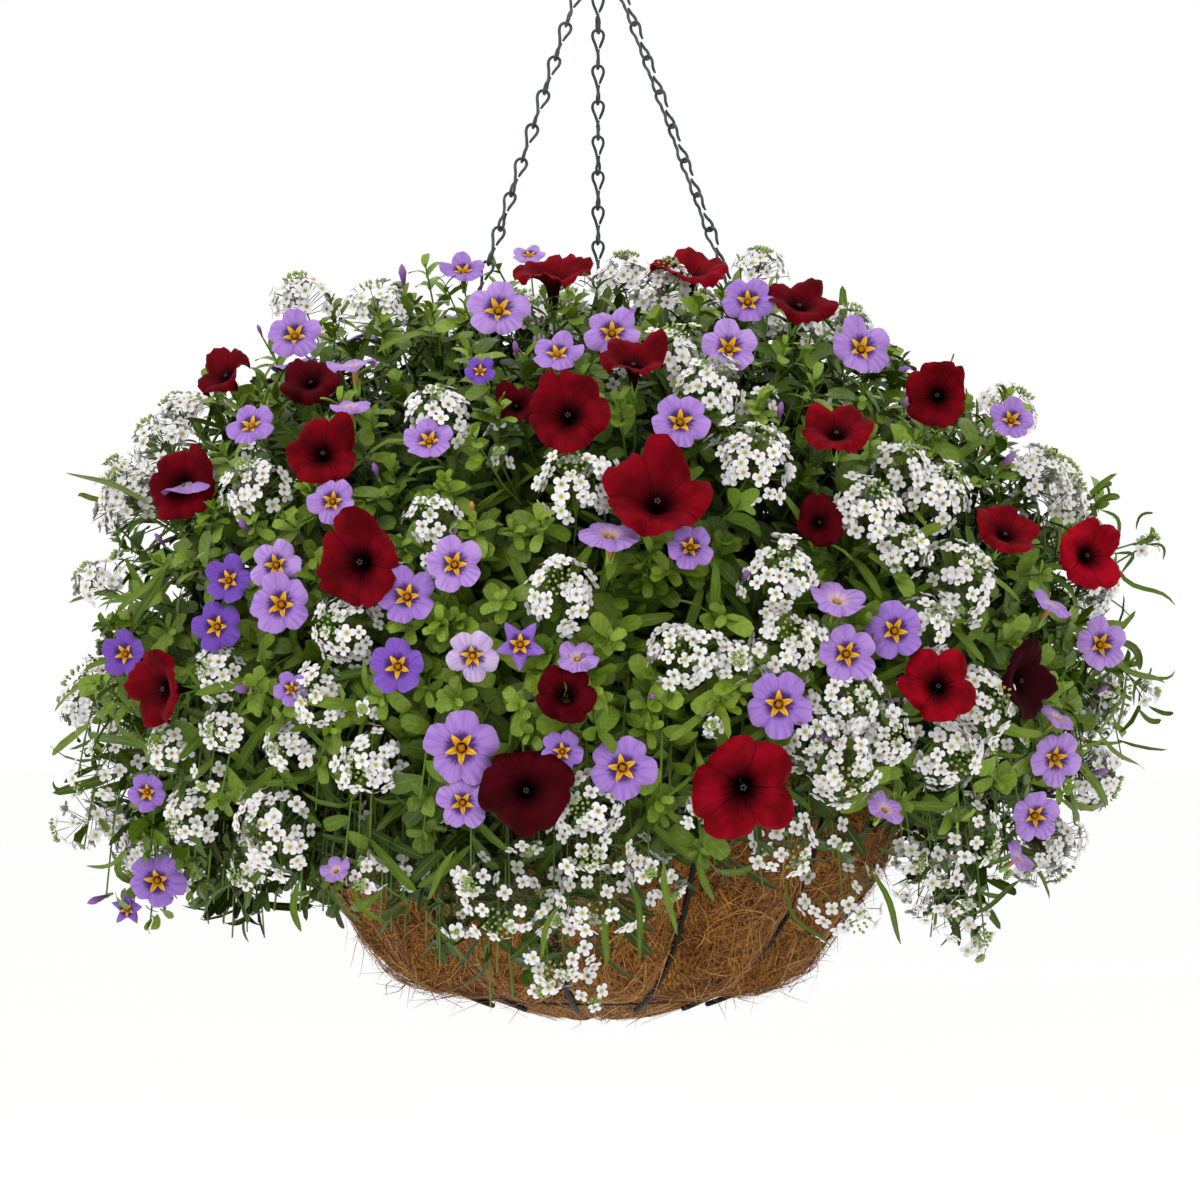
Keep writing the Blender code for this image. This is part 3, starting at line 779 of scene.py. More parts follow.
@dataclass
class Hanger:
    """The hook of thick wire and the three chains of twisted figure-eight links."""

    crook_r: float = 0.017
    eye_r: float = 0.008
    wire_r: float = 0.002
    crook_tip: float = 205
    eye_turn: float = 335
    lean: float = 15
    link_count: int = 22
    link_half_width: float = 0.0029
    link_sides: int = 6
    link_points: int = 38
    end_gap: float = 0.05
    waist_share: float = 0.32
    end_link_width: float = 1.28
    eye_play: float = 0.0002
    chains: dict[str, tuple[float, float, float, float]] = field(
        default_factory=lambda: {"right": (64, -0.0030, 45, 1.9), "left": (-52, -0.0004, 14, 1.05),
                                 "back": (180, 0.0036, 4, 1.05)})

    def hook(self) -> None:
        """The hook: a crook over the support, a short shank and a closed eye."""
        crook_z = self.wire_r - self.crook_r
        eye_z = APEX_Z + self.eye_r
        points = []
        for turn in np.radians(np.linspace(self.crook_tip, -self.lean, 34)):
            points.append((0.0, self.crook_r * math.cos(turn), crook_z + self.crook_r * math.sin(turn)))
        for turn in np.radians(np.linspace(-self.lean, -self.eye_turn + self.lean, 36)):
            points.append((0.0, self.eye_r * math.cos(turn), eye_z + self.eye_r * math.sin(turn)))
        path = np.array([points])
        wire = np.full(path.shape[:2], self.wire_r)
        wire[:, [0, -1]] *= 0.55
        pool = MeshPool()
        pool.add_tubes(path, wire, 14, np.array([0.5]))
        pool.make("hook_wire", [BLACK_WIRE], "hanger", "black_wire", ["hanger_hook"])

    def links(self, side: str, rng: np.random.Generator) -> None:
        """One chain of open links: a wire's two loops stand a quarter turn apart, its ends meet at the waist."""
        azimuth, aside, settled, waist_bow = self.chains[side]
        azimuth = math.radians(azimuth)
        top = np.array([0.0, aside, APEX_Z + self.eye_r - math.sqrt(self.eye_r**2 - aside**2)])
        foot = at(RIM_R, azimuth, 0.0)
        along = unit(foot - top)
        first = top - along * (self.wire_r + CHAIN_WIRE_R + self.eye_play)
        last = foot + along * (RIM_WIRE_R + CHAIN_WIRE_R)
        pitch = (np.linalg.norm(last - first) - 2 * CHAIN_WIRE_R) / self.link_count
        half = pitch / 2 + CHAIN_WIRE_R
        steps = math.pi / 2 + np.linspace(self.end_gap, math.tau - self.end_gap, self.link_points)
        lengthwise = -half * np.cos(steps)
        across = self.link_half_width * np.sin(2 * steps)
        bow = np.where((np.sin(steps) > 0) & (lengthwise > 0), 2.1 - waist_bow, waist_bow)
        lane = CHAIN_WIRE_R * bow * np.sin(steps) * np.exp(-((lengthwise / (self.waist_share * half)) ** 2))
        twist = (np.clip(lengthwise / (0.55 * half), -1, 1) * 0.5 + 0.5) * math.pi / 2
        start_normal = unit(np.array([0.0, 1.0, 0.0]) - along * along[1])
        tangent = np.array([math.cos(azimuth), math.sin(azimuth), 0.0])
        other = np.cross(along, start_normal)
        goal = math.atan2(float(tangent @ other), float(tangent @ start_normal)) - math.pi / 2
        goal = (goal + math.pi / 2) % math.pi - math.pi / 2
        paths = []
        for i in range(self.link_count):
            share = i / (self.link_count - 1)
            free = min(1.0, share / 0.15, (1 - share) / 0.10)
            loose = rng.normal(0, 0.16) * (0 < share < 1)
            angle = goal * share * (1 - free) + math.radians(settled) * free + loose + twist
            normal = np.cos(angle)[:, None] * start_normal + np.sin(angle)[:, None] * other
            flat = np.cross(along, normal) * (self.end_link_width if share in (0, 1) else 1.0)
            middle = first + along * (half + pitch * i)
            paths.append(middle + lengthwise[:, None] * along + across[:, None] * flat + lane[:, None] * normal)
        pool = MeshPool()
        wire = np.full((self.link_count, len(steps)), CHAIN_WIRE_R)
        wire[:, [0, -1]] *= 0.7
        pool.add_tubes(np.array(paths), wire, self.link_sides, np.full(self.link_count, 0.5))
        nodes = [f"chain_{side}", f"eye_link_{side}", f"rim_link_{side}"]
        pool.make(f"chain_links_{side}", [CHAIN_STEEL], "basket", "chain_steel", nodes)

    def build(self, rng: np.random.Generator) -> None:
        """The hook and the three chains."""
        self.hook()
        for side in self.chains:
            self.links(side, rng)


@dataclass
class CoirLiner:
    """The coir bowl that swells between the wires, its loose fibres and the soil in it."""

    wires: WireFrame
    held_in: float = -0.0026
    bulge: float = 0.0095
    lip: float = 0.006
    thickness: float = 0.010
    fibre_count: int = 13500
    fibre_steps: int = 4
    stray_share: float = 0.3

    def pressed(self, depth: np.ndarray) -> np.ndarray:
        """How far the wires hold the mat in at a depth, from 0 to 1."""
        rings = ((0.0, 0.016, 1.0), (HOOP_DEPTH, 0.012, 0.3), (BASE_DEPTH, 0.0065, 1.32))
        return np.max([most * np.exp(-(((depth - ring) / spread) ** 2)) for ring, spread, most in rings], axis=0)

    def outside(self, depth: np.ndarray, azimuth: np.ndarray, proud: np.ndarray | float = 0.0) -> np.ndarray:
        """Points of the mat's outer face.

        Args:
            depth: Depths below the rim.
            azimuth: Azimuths in radians.
            proud: How far each point stands off the face.

        Returns:
            One point per depth and azimuth.
        """
        turn = RIB_COUNT / 2 * (azimuth - math.radians(FIRST_RIB_AZIMUTH))
        between = np.abs(np.sin(turn)) ** 0.84
        between = between * np.clip((0.1716 - depth) / 0.03, 0.25, 1)
        free = (1 - self.pressed(depth)) * between
        proud = proud * (0.22 + 0.78 * np.clip(between * 2.5, 0, 1)) * (1 - 0.8 * np.clip(self.pressed(depth), 0, 1))
        radius, height = self.wires.profile(depth, self.held_in + free * (self.bulge - self.held_in) + proud)
        return np.stack([radius * np.sin(azimuth), -radius * np.cos(azimuth), RIM_Z + height], axis=-1)

    def bowl(self, rng: np.random.Generator) -> None:
        """The mat as one lumpy sheet: inner face, lip, outer face and base."""
        azimuths = np.arange(180) / 180 * math.tau
        depths = np.concatenate([np.linspace(0.0, 0.150, 34), 0.150 + 0.0218 * np.sin(np.linspace(0.12, 1, 12) * 1.5)])
        waves = [(rng.integers(5, 40), rng.uniform(20, 160), rng.uniform(0, math.tau)) for _ in range(14)]
        rows = []
        for depth in depths:
            lumps = sum(np.sin(n * azimuths + k * depth + p) for n, k, p in waves) * 0.00042
            fade = min(1.0, depth / 0.012)
            rows.append(self.outside(np.full(180, depth), azimuths, lumps * fade))
        centre = np.tile(rows[-1].mean(axis=0) - [0, 0, 0.0006], (180, 1))
        rows.append(centre + (rows[-1] - centre) * 0.02)
        rim = rows[0] * [1, 1, 0]
        outer, inner = rim + [0, 0, RIM_Z + self.lip * 0.7], unit(rim) * (RIM_R + self.held_in - self.thickness)
        lip = [inner + [0, 0, RIM_Z - 0.012], inner + [0, 0, RIM_Z + self.lip * 0.6],
               (inner + rim) / 2 + [0, 0, RIM_Z + self.lip], outer]
        sheet = np.array(lip + rows)
        flat = np.zeros(sheet.shape[:2] + (2,))
        pool = MeshPool()
        pool.add_one(Shape.grid(sheet[:, ::-1], flat, wrap=True))
        pool.make("coir_bowl", [COIR], "basket", "coir", ["coir_liner"])

    def fibres(self, rng: np.random.Generator) -> None:
        """Loose strands that lie over the mat, curl off it and hang from its base."""
        count, steps = self.fibre_count, self.fibre_steps
        depth = 0.022 + 0.147 * rng.uniform(0.0, 1.0, count) ** 0.75
        azimuth = rng.uniform(0, math.tau, count)
        heading = rng.uniform(0, math.tau, count)
        length = rng.uniform(0.010, 0.036, count)
        bend = rng.normal(0, 1.4, count)
        along = np.linspace(-0.5, 0.5, steps)
        turn = heading[:, None] + bend[:, None] * along[None]
        step = length[:, None] / steps
        radius, _ = self.wires.profile(depth)
        down = np.cumsum(np.sin(turn) * step, axis=1)
        round_way = np.cumsum(np.cos(turn) * step, axis=1)
        depths = np.clip(depth[:, None] + down - down.mean(axis=1, keepdims=True), 0.0, 0.1712)
        azimuths = azimuth[:, None] + (round_way - round_way.mean(axis=1, keepdims=True)) / np.maximum(radius, 0.02)[:, None]
        loose = rng.random(count) < self.stray_share
        lift = rng.uniform(0.0001, 0.0030, count)[:, None] * np.ones(steps)
        lift += loose[:, None] * rng.exponential(0.004, count).clip(0, 0.014)[:, None] * np.linspace(0, 1, steps) ** 2
        paths = self.outside(depths, azimuths, lift)
        thick = rng.uniform(0.00013, 0.00027, count)[:, None] * np.array([0.5] + [1.0] * (steps - 2) + [0.3])
        out = unit((paths[:, 0] - [0, 0, RIM_Z + 0.05]) * [1, 1, 0.6])
        across = np.cross(unit(paths[:, 1] - paths[:, 0]), out) + rng.normal(0, 0.35, (count, 3))
        pool = MeshPool()
        pool.add_tubes(paths, thick, 2, rng.random(count), across=across)
        pool.make("coir_strands", [COIR_STRAND], "basket", "coir", ["coir_liner"])

    def build(self, rng: np.random.Generator) -> None:
        """The bowl, its fibres and the soil's finish."""
        self.bowl(rng)
        self.fibres(rng)
        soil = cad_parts["potting_soil"]
        for place in soil.material_slots:
            place.material = SOIL.material()
        LOG.info("potting_soil: CAD node with a new finish")


# The planting


@dataclass
class Canopy:
    """The outer face of the planting: a wide low ball that hangs over the rim."""

    middle: float = 0.03
    section: tuple = ((0.0, 0.197), (0.095, 0.196), (0.155, 0.184), (0.196, 0.156), (0.230, 0.120), (0.252, 0.075),
                      (0.261, 0.020), (0.262, -0.035), (0.250, -0.075), (0.222, -0.105), (0.190, -0.165))

    def __post_init__(self) -> None:
        """Works out the section as reach against elevation."""
        points = np.array(self.section) - [0, self.middle]
        order = np.argsort(np.arctan2(points[:, 1], points[:, 0]))
        self.angles = np.arctan2(points[:, 1], points[:, 0])[order]
        self.reaches = np.hypot(points[:, 0], points[:, 1])[order]
        self.centre = np.array([0, 0, RIM_Z + self.middle])

    def reach(self, directions: np.ndarray) -> np.ndarray:
        """How far the face is from the middle along unit directions."""
        return np.interp(np.arcsin(np.clip(directions[..., 2], -1, 1)), self.angles, self.reaches)

    def place(self, directions: np.ndarray, share: np.ndarray | float = 1.0) -> np.ndarray:
        """Points at a share of the way from the middle to the face."""
        return self.centre + directions * (self.reach(directions) * share)[..., None]

    def normal(self, places: np.ndarray) -> np.ndarray:
        """Which way the face looks at or near the given points."""
        way = (places - self.centre) / np.array([0.27, 0.27, 0.17]) ** 2
        return unit(way)

    def seen_at(self, x: float, y: float) -> np.ndarray:
        """Where a pixel's line of sight meets the face, or passes closest to it.

        Args:
            x: Pixel column in the photograph.
            y: Pixel row in the photograph.

        Returns:
            The point.
        """
        eye = np.array([CAMERA_X, -CAMERA_DISTANCE, RIM_Z + CAMERA_ABOVE_RIM])
        scale = PIXELS_PER_METRE * CAMERA_DISTANCE
        sight = unit(np.array([(x - PHOTO_WIDTH / 2), scale, (PHOTO_WIDTH / 2 - y)]))
        walk = eye + sight * np.linspace(CAMERA_DISTANCE - 0.32, CAMERA_DISTANCE + 0.02, 200)[:, None]
        away = walk - self.centre
        gap = np.linalg.norm(away, axis=1) - self.reach(unit(away))
        inside = np.nonzero(gap <= 0)[0]
        return walk[inside[0]] if len(inside) else walk[np.argmin(gap)]

    def spread(self, count: int, lowest: float) -> np.ndarray:
        """Directions spread evenly over the face above a lowest elevation in radians."""
        heights = 1 - (np.arange(count) + 0.5) / count * (1 - math.sin(lowest))
        turns = np.arange(count) * GOLDEN_ANGLE
        flat = np.sqrt(1 - heights**2)
        return np.stack([flat * np.cos(turns), flat * np.sin(turns), heights], axis=-1)


@dataclass(frozen=True)
class LeafForm:
    """The outline of one kind's leaf, for a blade one unit long."""

    segments: int
    columns: int
    widest: float
    fullness: float
    half_width: float
    stalk: float

    def shape(self, arch: float, fold: float) -> Shape:
        """One blade from the origin along +Y, its upper side to +Z.

        Args:
            arch: How far the tip bends down, in radians.
            fold: How steeply the halves rise from the midrib.

        Returns:
            The blade.
        """
        along = np.sin(np.linspace(0, 1, self.segments + 1) * math.pi / 2) ** 1.15
        rise = (along / self.widest) ** (self.widest * self.fullness)
        fall = ((1 - along) / (1 - self.widest)) ** ((1 - self.widest) * self.fullness)
        half = self.half_width * np.maximum(rise * fall, np.where(along < 0.3, self.stalk, 0.03))
        bend = arch * along
        step = np.diff(along)
        y = np.concatenate([[0], np.cumsum(np.cos(bend[1:]) * step)])
        z = -np.concatenate([[0], np.cumsum(np.sin(bend[1:]) * step)])
        sides = np.linspace(-1, 1, self.columns)
        x = half[:, None] * sides
        lift = fold * half[:, None] * (np.abs(sides) ** 1.3)
        rows = np.stack([x, y[:, None] - lift * np.sin(-bend)[:, None], z[:, None] + lift * np.cos(bend)[:, None]],
                        axis=-1)
        pattern = np.stack(np.broadcast_arrays(sides[None], along[:, None]), axis=-1)
        return Shape.grid(rows, pattern)


def ribbon(path: np.ndarray, half: np.ndarray, upper: np.ndarray) -> Shape:
    """A long leaf along a path, its midrib sunk.

    Args:
        path: Points of the midrib.
        half: Half width at each point.
        upper: Where the upper side looks.

    Returns:
        The leaf.
    """
    sides = np.array([-1.0, 0.0, 1.0])
    aim = unit(np.gradient(path, axis=0))
    flat = unit(np.cross(aim, upper))
    normal = np.cross(flat, aim)
    spread = sides[None, :, None] * flat[:, None] + 0.3 * np.abs(sides)[None, :, None] * normal[:, None]
    rows = path[:, None] + spread * half[:, None, None]
    along = np.linspace(0, 1, len(path))
    return Shape.grid(rows, np.stack(np.broadcast_arrays(sides[None], along[:, None]), axis=-1))


@dataclass(frozen=True)
class TrumpetForm:
    """A trumpet bloom of fused lobes for a limb of radius one, facing +Z."""

    rings: tuple
    lobes: int = 5
    per_lobe: int = 8
    notch: float = 0.14
    notch_degrees: float = 8.0
    crease: float = 0.07
    lobe_lift: float = 0.05
    lobe_play: float = 0.07
    ruffle: float = 0.03
    sepal_length: float = 0.5

    def limb(self, rng: np.random.Generator, cup: float = 0.0, pointed: float = 0.0) -> Shape:
        """The corolla from the tube's foot to the edge.

        Args:
            rng: Random source for the ruffles.
            cup: How far the edge stands forward of the mouth.
            pointed: 0 for round lobes, 1 for narrow pointed ones, as on a bloom that is opening.

        Returns:
            The sheet.
        """
        count = self.lobes * self.per_lobe
        angle = np.arange(count) / count * math.tau
        lobe = math.tau / self.lobes
        from_ray = np.abs((angle / lobe + 0.5) % 1 - 0.5) * lobe
        valley = np.exp(-((from_ray / math.radians(self.notch_degrees)) ** 2))
        wide = np.exp(-((from_ray / math.radians(self.notch_degrees * 1.6)) ** 2))
        middle = from_ray / (lobe / 2)
        edge = 1 - self.notch * valley - 0.05 * (1 - np.sin(middle * math.pi / 2)) - 0.02 * middle**4
        edge = edge * (1 - pointed) + (0.42 + 0.58 * middle**1.4) * pointed
        number = (angle / lobe).astype(int) % self.lobes
        tilt = np.clip(rng.normal(0, 1, self.lobes), -1.4, 1.4)[number] * self.lobe_play * np.sin(middle * math.pi / 2)
        uneven = np.clip(rng.normal(0, 0.035, self.lobes), -0.04, 0.04)
        edge = edge * (1 + uneven[number] * np.sin(middle * math.pi / 2))
        phases = rng.uniform(0, math.tau, 5)
        wave = sum(np.sin((k + 2) * angle + p) / (1 + 0.25 * k) for k, p in enumerate(phases)) * self.ruffle
        frill = np.sin(angle * self.lobes * 4 + phases[0]) * self.ruffle * 0.5
        edge = edge * (1 + 0.6 * wave)
        rows, pattern = [], []
        for mark, radius, height in self.rings:
            share = max(0.0, (mark - 0.34) / 0.66)
            out = radius * (1 + (edge - 1) * share**1.3)
            lift = height + cup * share**1.5 - self.crease * share * (wide + pointed * (1 - middle) * 3)
            lift = lift + self.lobe_lift * share**2 * (middle - 0.5) + (wave + tilt) * share**2 + frill * share**4
            rows.append(np.stack([out * np.cos(angle), out * np.sin(angle), lift], axis=-1))
            pattern.append(np.stack([mark * np.cos(angle), mark * np.sin(angle)], axis=-1))
        return Shape.grid(np.array(rows), np.array(pattern), wrap=True)

    def calyx(self, slot: int) -> Shape:
        """The green cup of narrow sepals round the tube's foot."""
        foot = self.rings[0][2]
        radius = self.rings[0][1]
        angle = np.arange(self.lobes * 2) / (self.lobes * 2) * math.tau
        tooth = np.arange(self.lobes * 2) % 2
        rows = []
        for r, z in ((0.25, -0.10), (1.15, -0.06), (1.45, 0.10)):
            rows.append(np.stack([radius * r * np.cos(angle), radius * r * np.sin(angle),
                                  np.full(len(angle), foot + z)], axis=-1))
        out = radius * (1.6 + 1.5 * tooth)
        rows.append(np.stack([out * np.cos(angle), out * np.sin(angle),
                              foot + 0.16 + self.sepal_length * tooth], axis=-1))
        flat = np.zeros((4, len(angle), 2))
        flat[..., 1] = np.linspace(0, 1, 4)[:, None]
        return Shape.grid(np.array(rows), flat, wrap=True, slot=slot)


def closed_bud(slot: int) -> Shape:
    """A furled bud: a slim spindle on a narrow tube, drawn out along +Z, of length two."""
    angle = np.arange(6) / 6 * math.tau
    rings = ((0.10, -1.2), (0.15, -0.5), (0.27, 0.0), (0.32, 0.35), (0.20, 0.75), (0.03, 1.0))
    rows = [np.stack([r * np.cos(angle + z), r * np.sin(angle + z), np.full(6, z)], axis=-1) for r, z in rings]
    flat = np.zeros((len(rings), 6, 2))
    flat[..., 1] = np.linspace(0, 1, len(rings))[:, None]
    return Shape.grid(np.array(rows), flat, wrap=True, slot=slot)


def crumb(slot: int, length: float = 1.0) -> Shape:
    """A small eight-sided grain of radius one, drawn out along +Z."""
    points = np.array([[1, 0, 0], [0, 1, 0], [-1, 0, 0], [0, -1, 0], [0, 0, length], [0, 0, -length]], float)
    faces = [[0, 1, 4, -1], [1, 2, 4, -1], [2, 3, 4, -1], [3, 0, 4, -1],
             [1, 0, 5, -1], [2, 1, 5, -1], [3, 2, 5, -1], [0, 3, 5, -1]]
    pattern = np.stack([np.zeros(6), (points[:, 2] / length + 1) / 2], axis=-1)
    return Shape(points, np.array(faces), pattern, np.full(8, slot))


CALIBRACHOA_BLOOM = TrumpetForm(
    rings=((0.01, 0.08, -1.15), (0.03, 0.12, -0.60), (0.06, 0.12, -0.34), (0.10, 0.14, -0.20), (0.20, 0.20, -0.10),
           (0.34, 0.34, -0.02), (0.52, 0.52, 0.02), (0.74, 0.74, 0.02), (0.90, 0.90, -0.01), (1.0, 1.0, -0.06)),
    notch=0.19, notch_degrees=9.5, crease=0.12, lobe_lift=0.08, lobe_play=0.12, ruffle=0.035)
PETUNIA_BLOOM = TrumpetForm(
    rings=((0.01, 0.06, -1.30), (0.02, 0.09, -1.00), (0.04, 0.13, -0.74), (0.07, 0.16, -0.56), (0.11, 0.19, -0.43),
           (0.16, 0.22, -0.38), (0.24, 0.28, -0.31), (0.33, 0.36, -0.23), (0.44, 0.46, -0.15), (0.57, 0.58, -0.08),
           (0.70, 0.71, -0.02), (0.82, 0.83, 0.0), (0.92, 0.93, -0.03), (1.0, 1.0, -0.10)),
    per_lobe=13, notch=0.10, notch_degrees=5.0, crease=0.13, lobe_lift=0.10, lobe_play=0.16, ruffle=0.095,
    sepal_length=0.45)


@dataclass(frozen=True)
class AlyssumForm:
    """Alyssum: domed heads of four-petalled florets round a boss of green buds."""

    floret_r: float = 0.0040
    petal_outline: tuple = ((-28, 0.88, 0.0), (-10, 1.0, 0.02), (10, 1.0, 0.02), (28, 0.88, 0.0), (45, 0.50, -0.08))

    def floret(self) -> Shape:
        """One floret of radius one, facing +Z: four broad rounded petals round a sunken eye."""
        points = [(0.0, 0.0, -0.14)]
        for petal in range(4):
            for aside, radius, height in self.petal_outline:
                turn = math.radians(90 * petal + aside)
                points.append((radius * math.cos(turn), radius * math.sin(turn), height))
        points = np.array(points)
        rim = len(points) - 1
        faces = np.array([[0, 1 + k, 1 + (k + 1) % rim, -1] for k in range(rim)])
        return Shape(points, faces, points[:, :2], np.full(rim, 0))

    def head(self, pool: MeshPool, place: np.ndarray, axis: np.ndarray, width: float, rng: np.random.Generator,
             loose: float = 0.0) -> None:
        """Adds one head of florets, pedicels and buds to a pool.

        Args:
            pool: The pool. Slot 0 is petal, 1 stem and 2 bud.
            place: The head's middle.
            axis: Where the head looks.
            width: Its width.
            rng: Random source.
            loose: 0 for a tight dome, 1 for an old raceme with florets strung far down its stem.
        """
        half = width / 2
        gap = self.floret_r * (1.30 + 1.3 * loose)
        count = int(4.8 * (half / gap) ** 2) + 3
        polar = np.radians(20 + 80 * (np.arange(count) / count) ** 0.8) + rng.normal(0, 0.09, count)
        turn = np.arange(count) * GOLDEN_ANGLE + rng.normal(0, 0.3, count) + rng.uniform(0, 6)
        frame_axes = facing_turns(axis[None], unit(rng.normal(0, 1, (1, 3))))[0]
        out = np.stack([np.sin(polar) * np.cos(turn), np.sin(polar) * np.sin(turn), np.cos(polar)], axis=-1)
        lump = 1 + 0.13 * np.sin(2 * turn + rng.uniform(0, 6)) + 0.10 * np.sin(3 * turn + rng.uniform(0, 6))
        reach = half * rng.uniform(0.84, 1.08, count) * lump * (1 + 0.4 * loose * rng.random(count))
        string = loose * width * 0.9 * (np.arange(count) / count) ** 1.2
        local = out * reach[:, None] * [1, 1, 0.78] - [0, 0, 0.15 * half]
        local[:, 2] -= string
        spots = local @ frame_axes.T + place
        faces = unit((out * [1, 1, 0.8] + [0, 0, 0.35]) @ frame_axes.T + rng.normal(0, 0.16, (count, 3)))
        turns = facing_turns(faces, rng.normal(0, 1, (count, 3)), rng.uniform(0, 6.28, count))
        sizes = self.floret_r * rng.uniform(0.82, 1.08, count)
        pool.add(self.floret(), turns, spots, sizes, rng.random(count))
        roots = np.stack([np.zeros(count), np.zeros(count), local[:, 2] * 0.55 - half * 0.5], axis=-1)
        roots = roots @ frame_axes.T + place
        ends = spots - faces * self.floret_r * 0.12
        pool.add_tubes(np.stack([roots, ends], axis=1), np.full((count, 2), 0.00024), 3,
                       rng.uniform(0.5, 1, count), slot=1)
        buds = int(12 + 8 * rng.random())
        polar = np.radians(26 * np.sqrt((np.arange(buds) + 0.5) / buds))
        turn = np.arange(buds) * GOLDEN_ANGLE
        out = np.stack([np.sin(polar) * np.cos(turn), np.sin(polar) * np.sin(turn), np.cos(polar)], axis=-1)
        spots = (out * half * [0.95, 0.95, 0.74]) @ frame_axes.T + place
        turns = facing_turns(out @ frame_axes.T, rng.normal(0, 1, (buds, 3)))
        pool.add(crumb(2, 1.5), turns, spots, rng.uniform(0.0007, 0.0012, buds), rng.random(buds))


class Kind(Enum):
    """The three kinds of plant in the basket."""

    ALYSSUM = "alyssum"
    CALIBRACHOA = "calibrachoa"
    PETUNIA = "petunia"


class Look(Enum):
    """How a calibrachoa bloom shows itself."""

    FRONT = "front"
    SIDE = "side"
    UP = "up"
    DEEP = "deep"
    PALE = "pale"
    STAR = "star"
    BUD = "bud"
    HUSK = "husk"
    WILT = "wilt"


@dataclass
class Head:
    """A flower or flower head at the end of a shoot."""

    kind: Kind
    place: np.ndarray
    facing: np.ndarray
    radius: float
    look: Look = Look.FRONT
    loose: float = 0.0
    tint: float = 0.5
    node: str = ""
    covered: bool = False


@dataclass
class Plant:
    """One plant of the basket, with the pools that gather its parts."""

    name: str
    kind: Kind
    azimuth: float
    leaves: MeshPool = field(default_factory=MeshPool)
    shoots: MeshPool = field(default_factory=MeshPool)
    flowers: MeshPool = field(default_factory=MeshPool)

    def crown(self) -> np.ndarray:
        """Where the plant's shoots leave the soil."""
        return at(CROWN_RING_R, math.radians(self.azimuth), -0.008)


@dataclass(frozen=True)
class Growth:
    """How one kind's shoots look and carry their leaves."""

    form: LeafForm
    finish: LeafBlade
    stem: GreenStem
    per_shoot: int
    start: float
    shortest: float
    longest: float
    open_degrees: float
    arch: float
    fold: float
    rosette: int
    stem_r: float


GROWTHS = {
    Kind.ALYSSUM: Growth(LeafForm(4, 3, 0.55, 0.95, 0.080, 0.30), ALYSSUM_LEAF, ALYSSUM_STEM, 15, 0.50, 0.018, 0.038,
                         52, 0.8, 0.30, 0, 0.0008),
    Kind.CALIBRACHOA: Growth(LeafForm(5, 3, 0.64, 0.85, 0.26, 0.20), CALIBRACHOA_LEAF, STEM, 8, 0.58, 0.011, 0.021,
                             60, 0.7, 0.30, 8, 0.0009),
    Kind.PETUNIA: Growth(LeafForm(6, 3, 0.50, 0.9, 0.24, 0.12), PETUNIA_LEAF, STEM, 7, 0.55, 0.016, 0.030,
                         60, 0.9, 0.25, 3, 0.0012),
}

# Blooms read from the photograph: pixel column, row, width, and how each shows itself
CALIBRACHOA_SEEN = (
    (500, 320, 62, Look.FRONT), (465, 281, 46, Look.UP), (530, 266, 34, Look.UP), (612, 343, 54, Look.FRONT),
    (558, 363, 50, Look.UP), (482, 381, 30, Look.DEEP), (299, 345, 54, Look.FRONT), (358, 375, 50, Look.SIDE),
    (257, 433, 50, Look.UP), (355, 415, 40, Look.SIDE), (746, 312, 52, Look.FRONT), (727, 358, 56, Look.FRONT),
    (858, 358, 60, Look.FRONT), (679, 430, 56, Look.FRONT), (1004, 428, 46, Look.FRONT), (432, 448, 48, Look.UP),
    (338, 507, 45, Look.FRONT), (197, 490, 58, Look.SIDE), (458, 567, 54, Look.FRONT), (237, 582, 46, Look.DEEP),
    (225, 626, 50, Look.DEEP), (288, 605, 60, Look.FRONT), (283, 568, 50, Look.FRONT), (135, 652, 46, Look.DEEP),
    (402, 664, 54, Look.DEEP), (411, 597, 56, Look.UP), (475, 655, 50, Look.PALE), (522, 643, 48, Look.STAR),
    (578, 655, 40, Look.SIDE), (464, 742, 70, Look.FRONT), (465, 795, 50, Look.FRONT), (622, 761, 62, Look.FRONT),
    (563, 745, 40, Look.UP), (688, 551, 44, Look.FRONT), (610, 538, 60, Look.SIDE), (775, 700, 62, Look.FRONT),
    (841, 652, 56, Look.FRONT), (888, 630, 56, Look.FRONT), (832, 600, 55, Look.SIDE), (1090, 643, 54, Look.FRONT),
    (1047, 752, 54, Look.FRONT), (1028, 808, 50, Look.FRONT), (1040, 605, 45, Look.SIDE), (880, 800, 40, Look.SIDE),
    (163, 872, 58, Look.FRONT), (133, 900, 35, Look.STAR), (155, 785, 40, Look.FRONT), (1048, 712, 40, Look.SIDE),
    (1012, 848, 40, Look.SIDE), (298, 685, 34, Look.UP), (340, 860, 30, Look.SIDE),
)

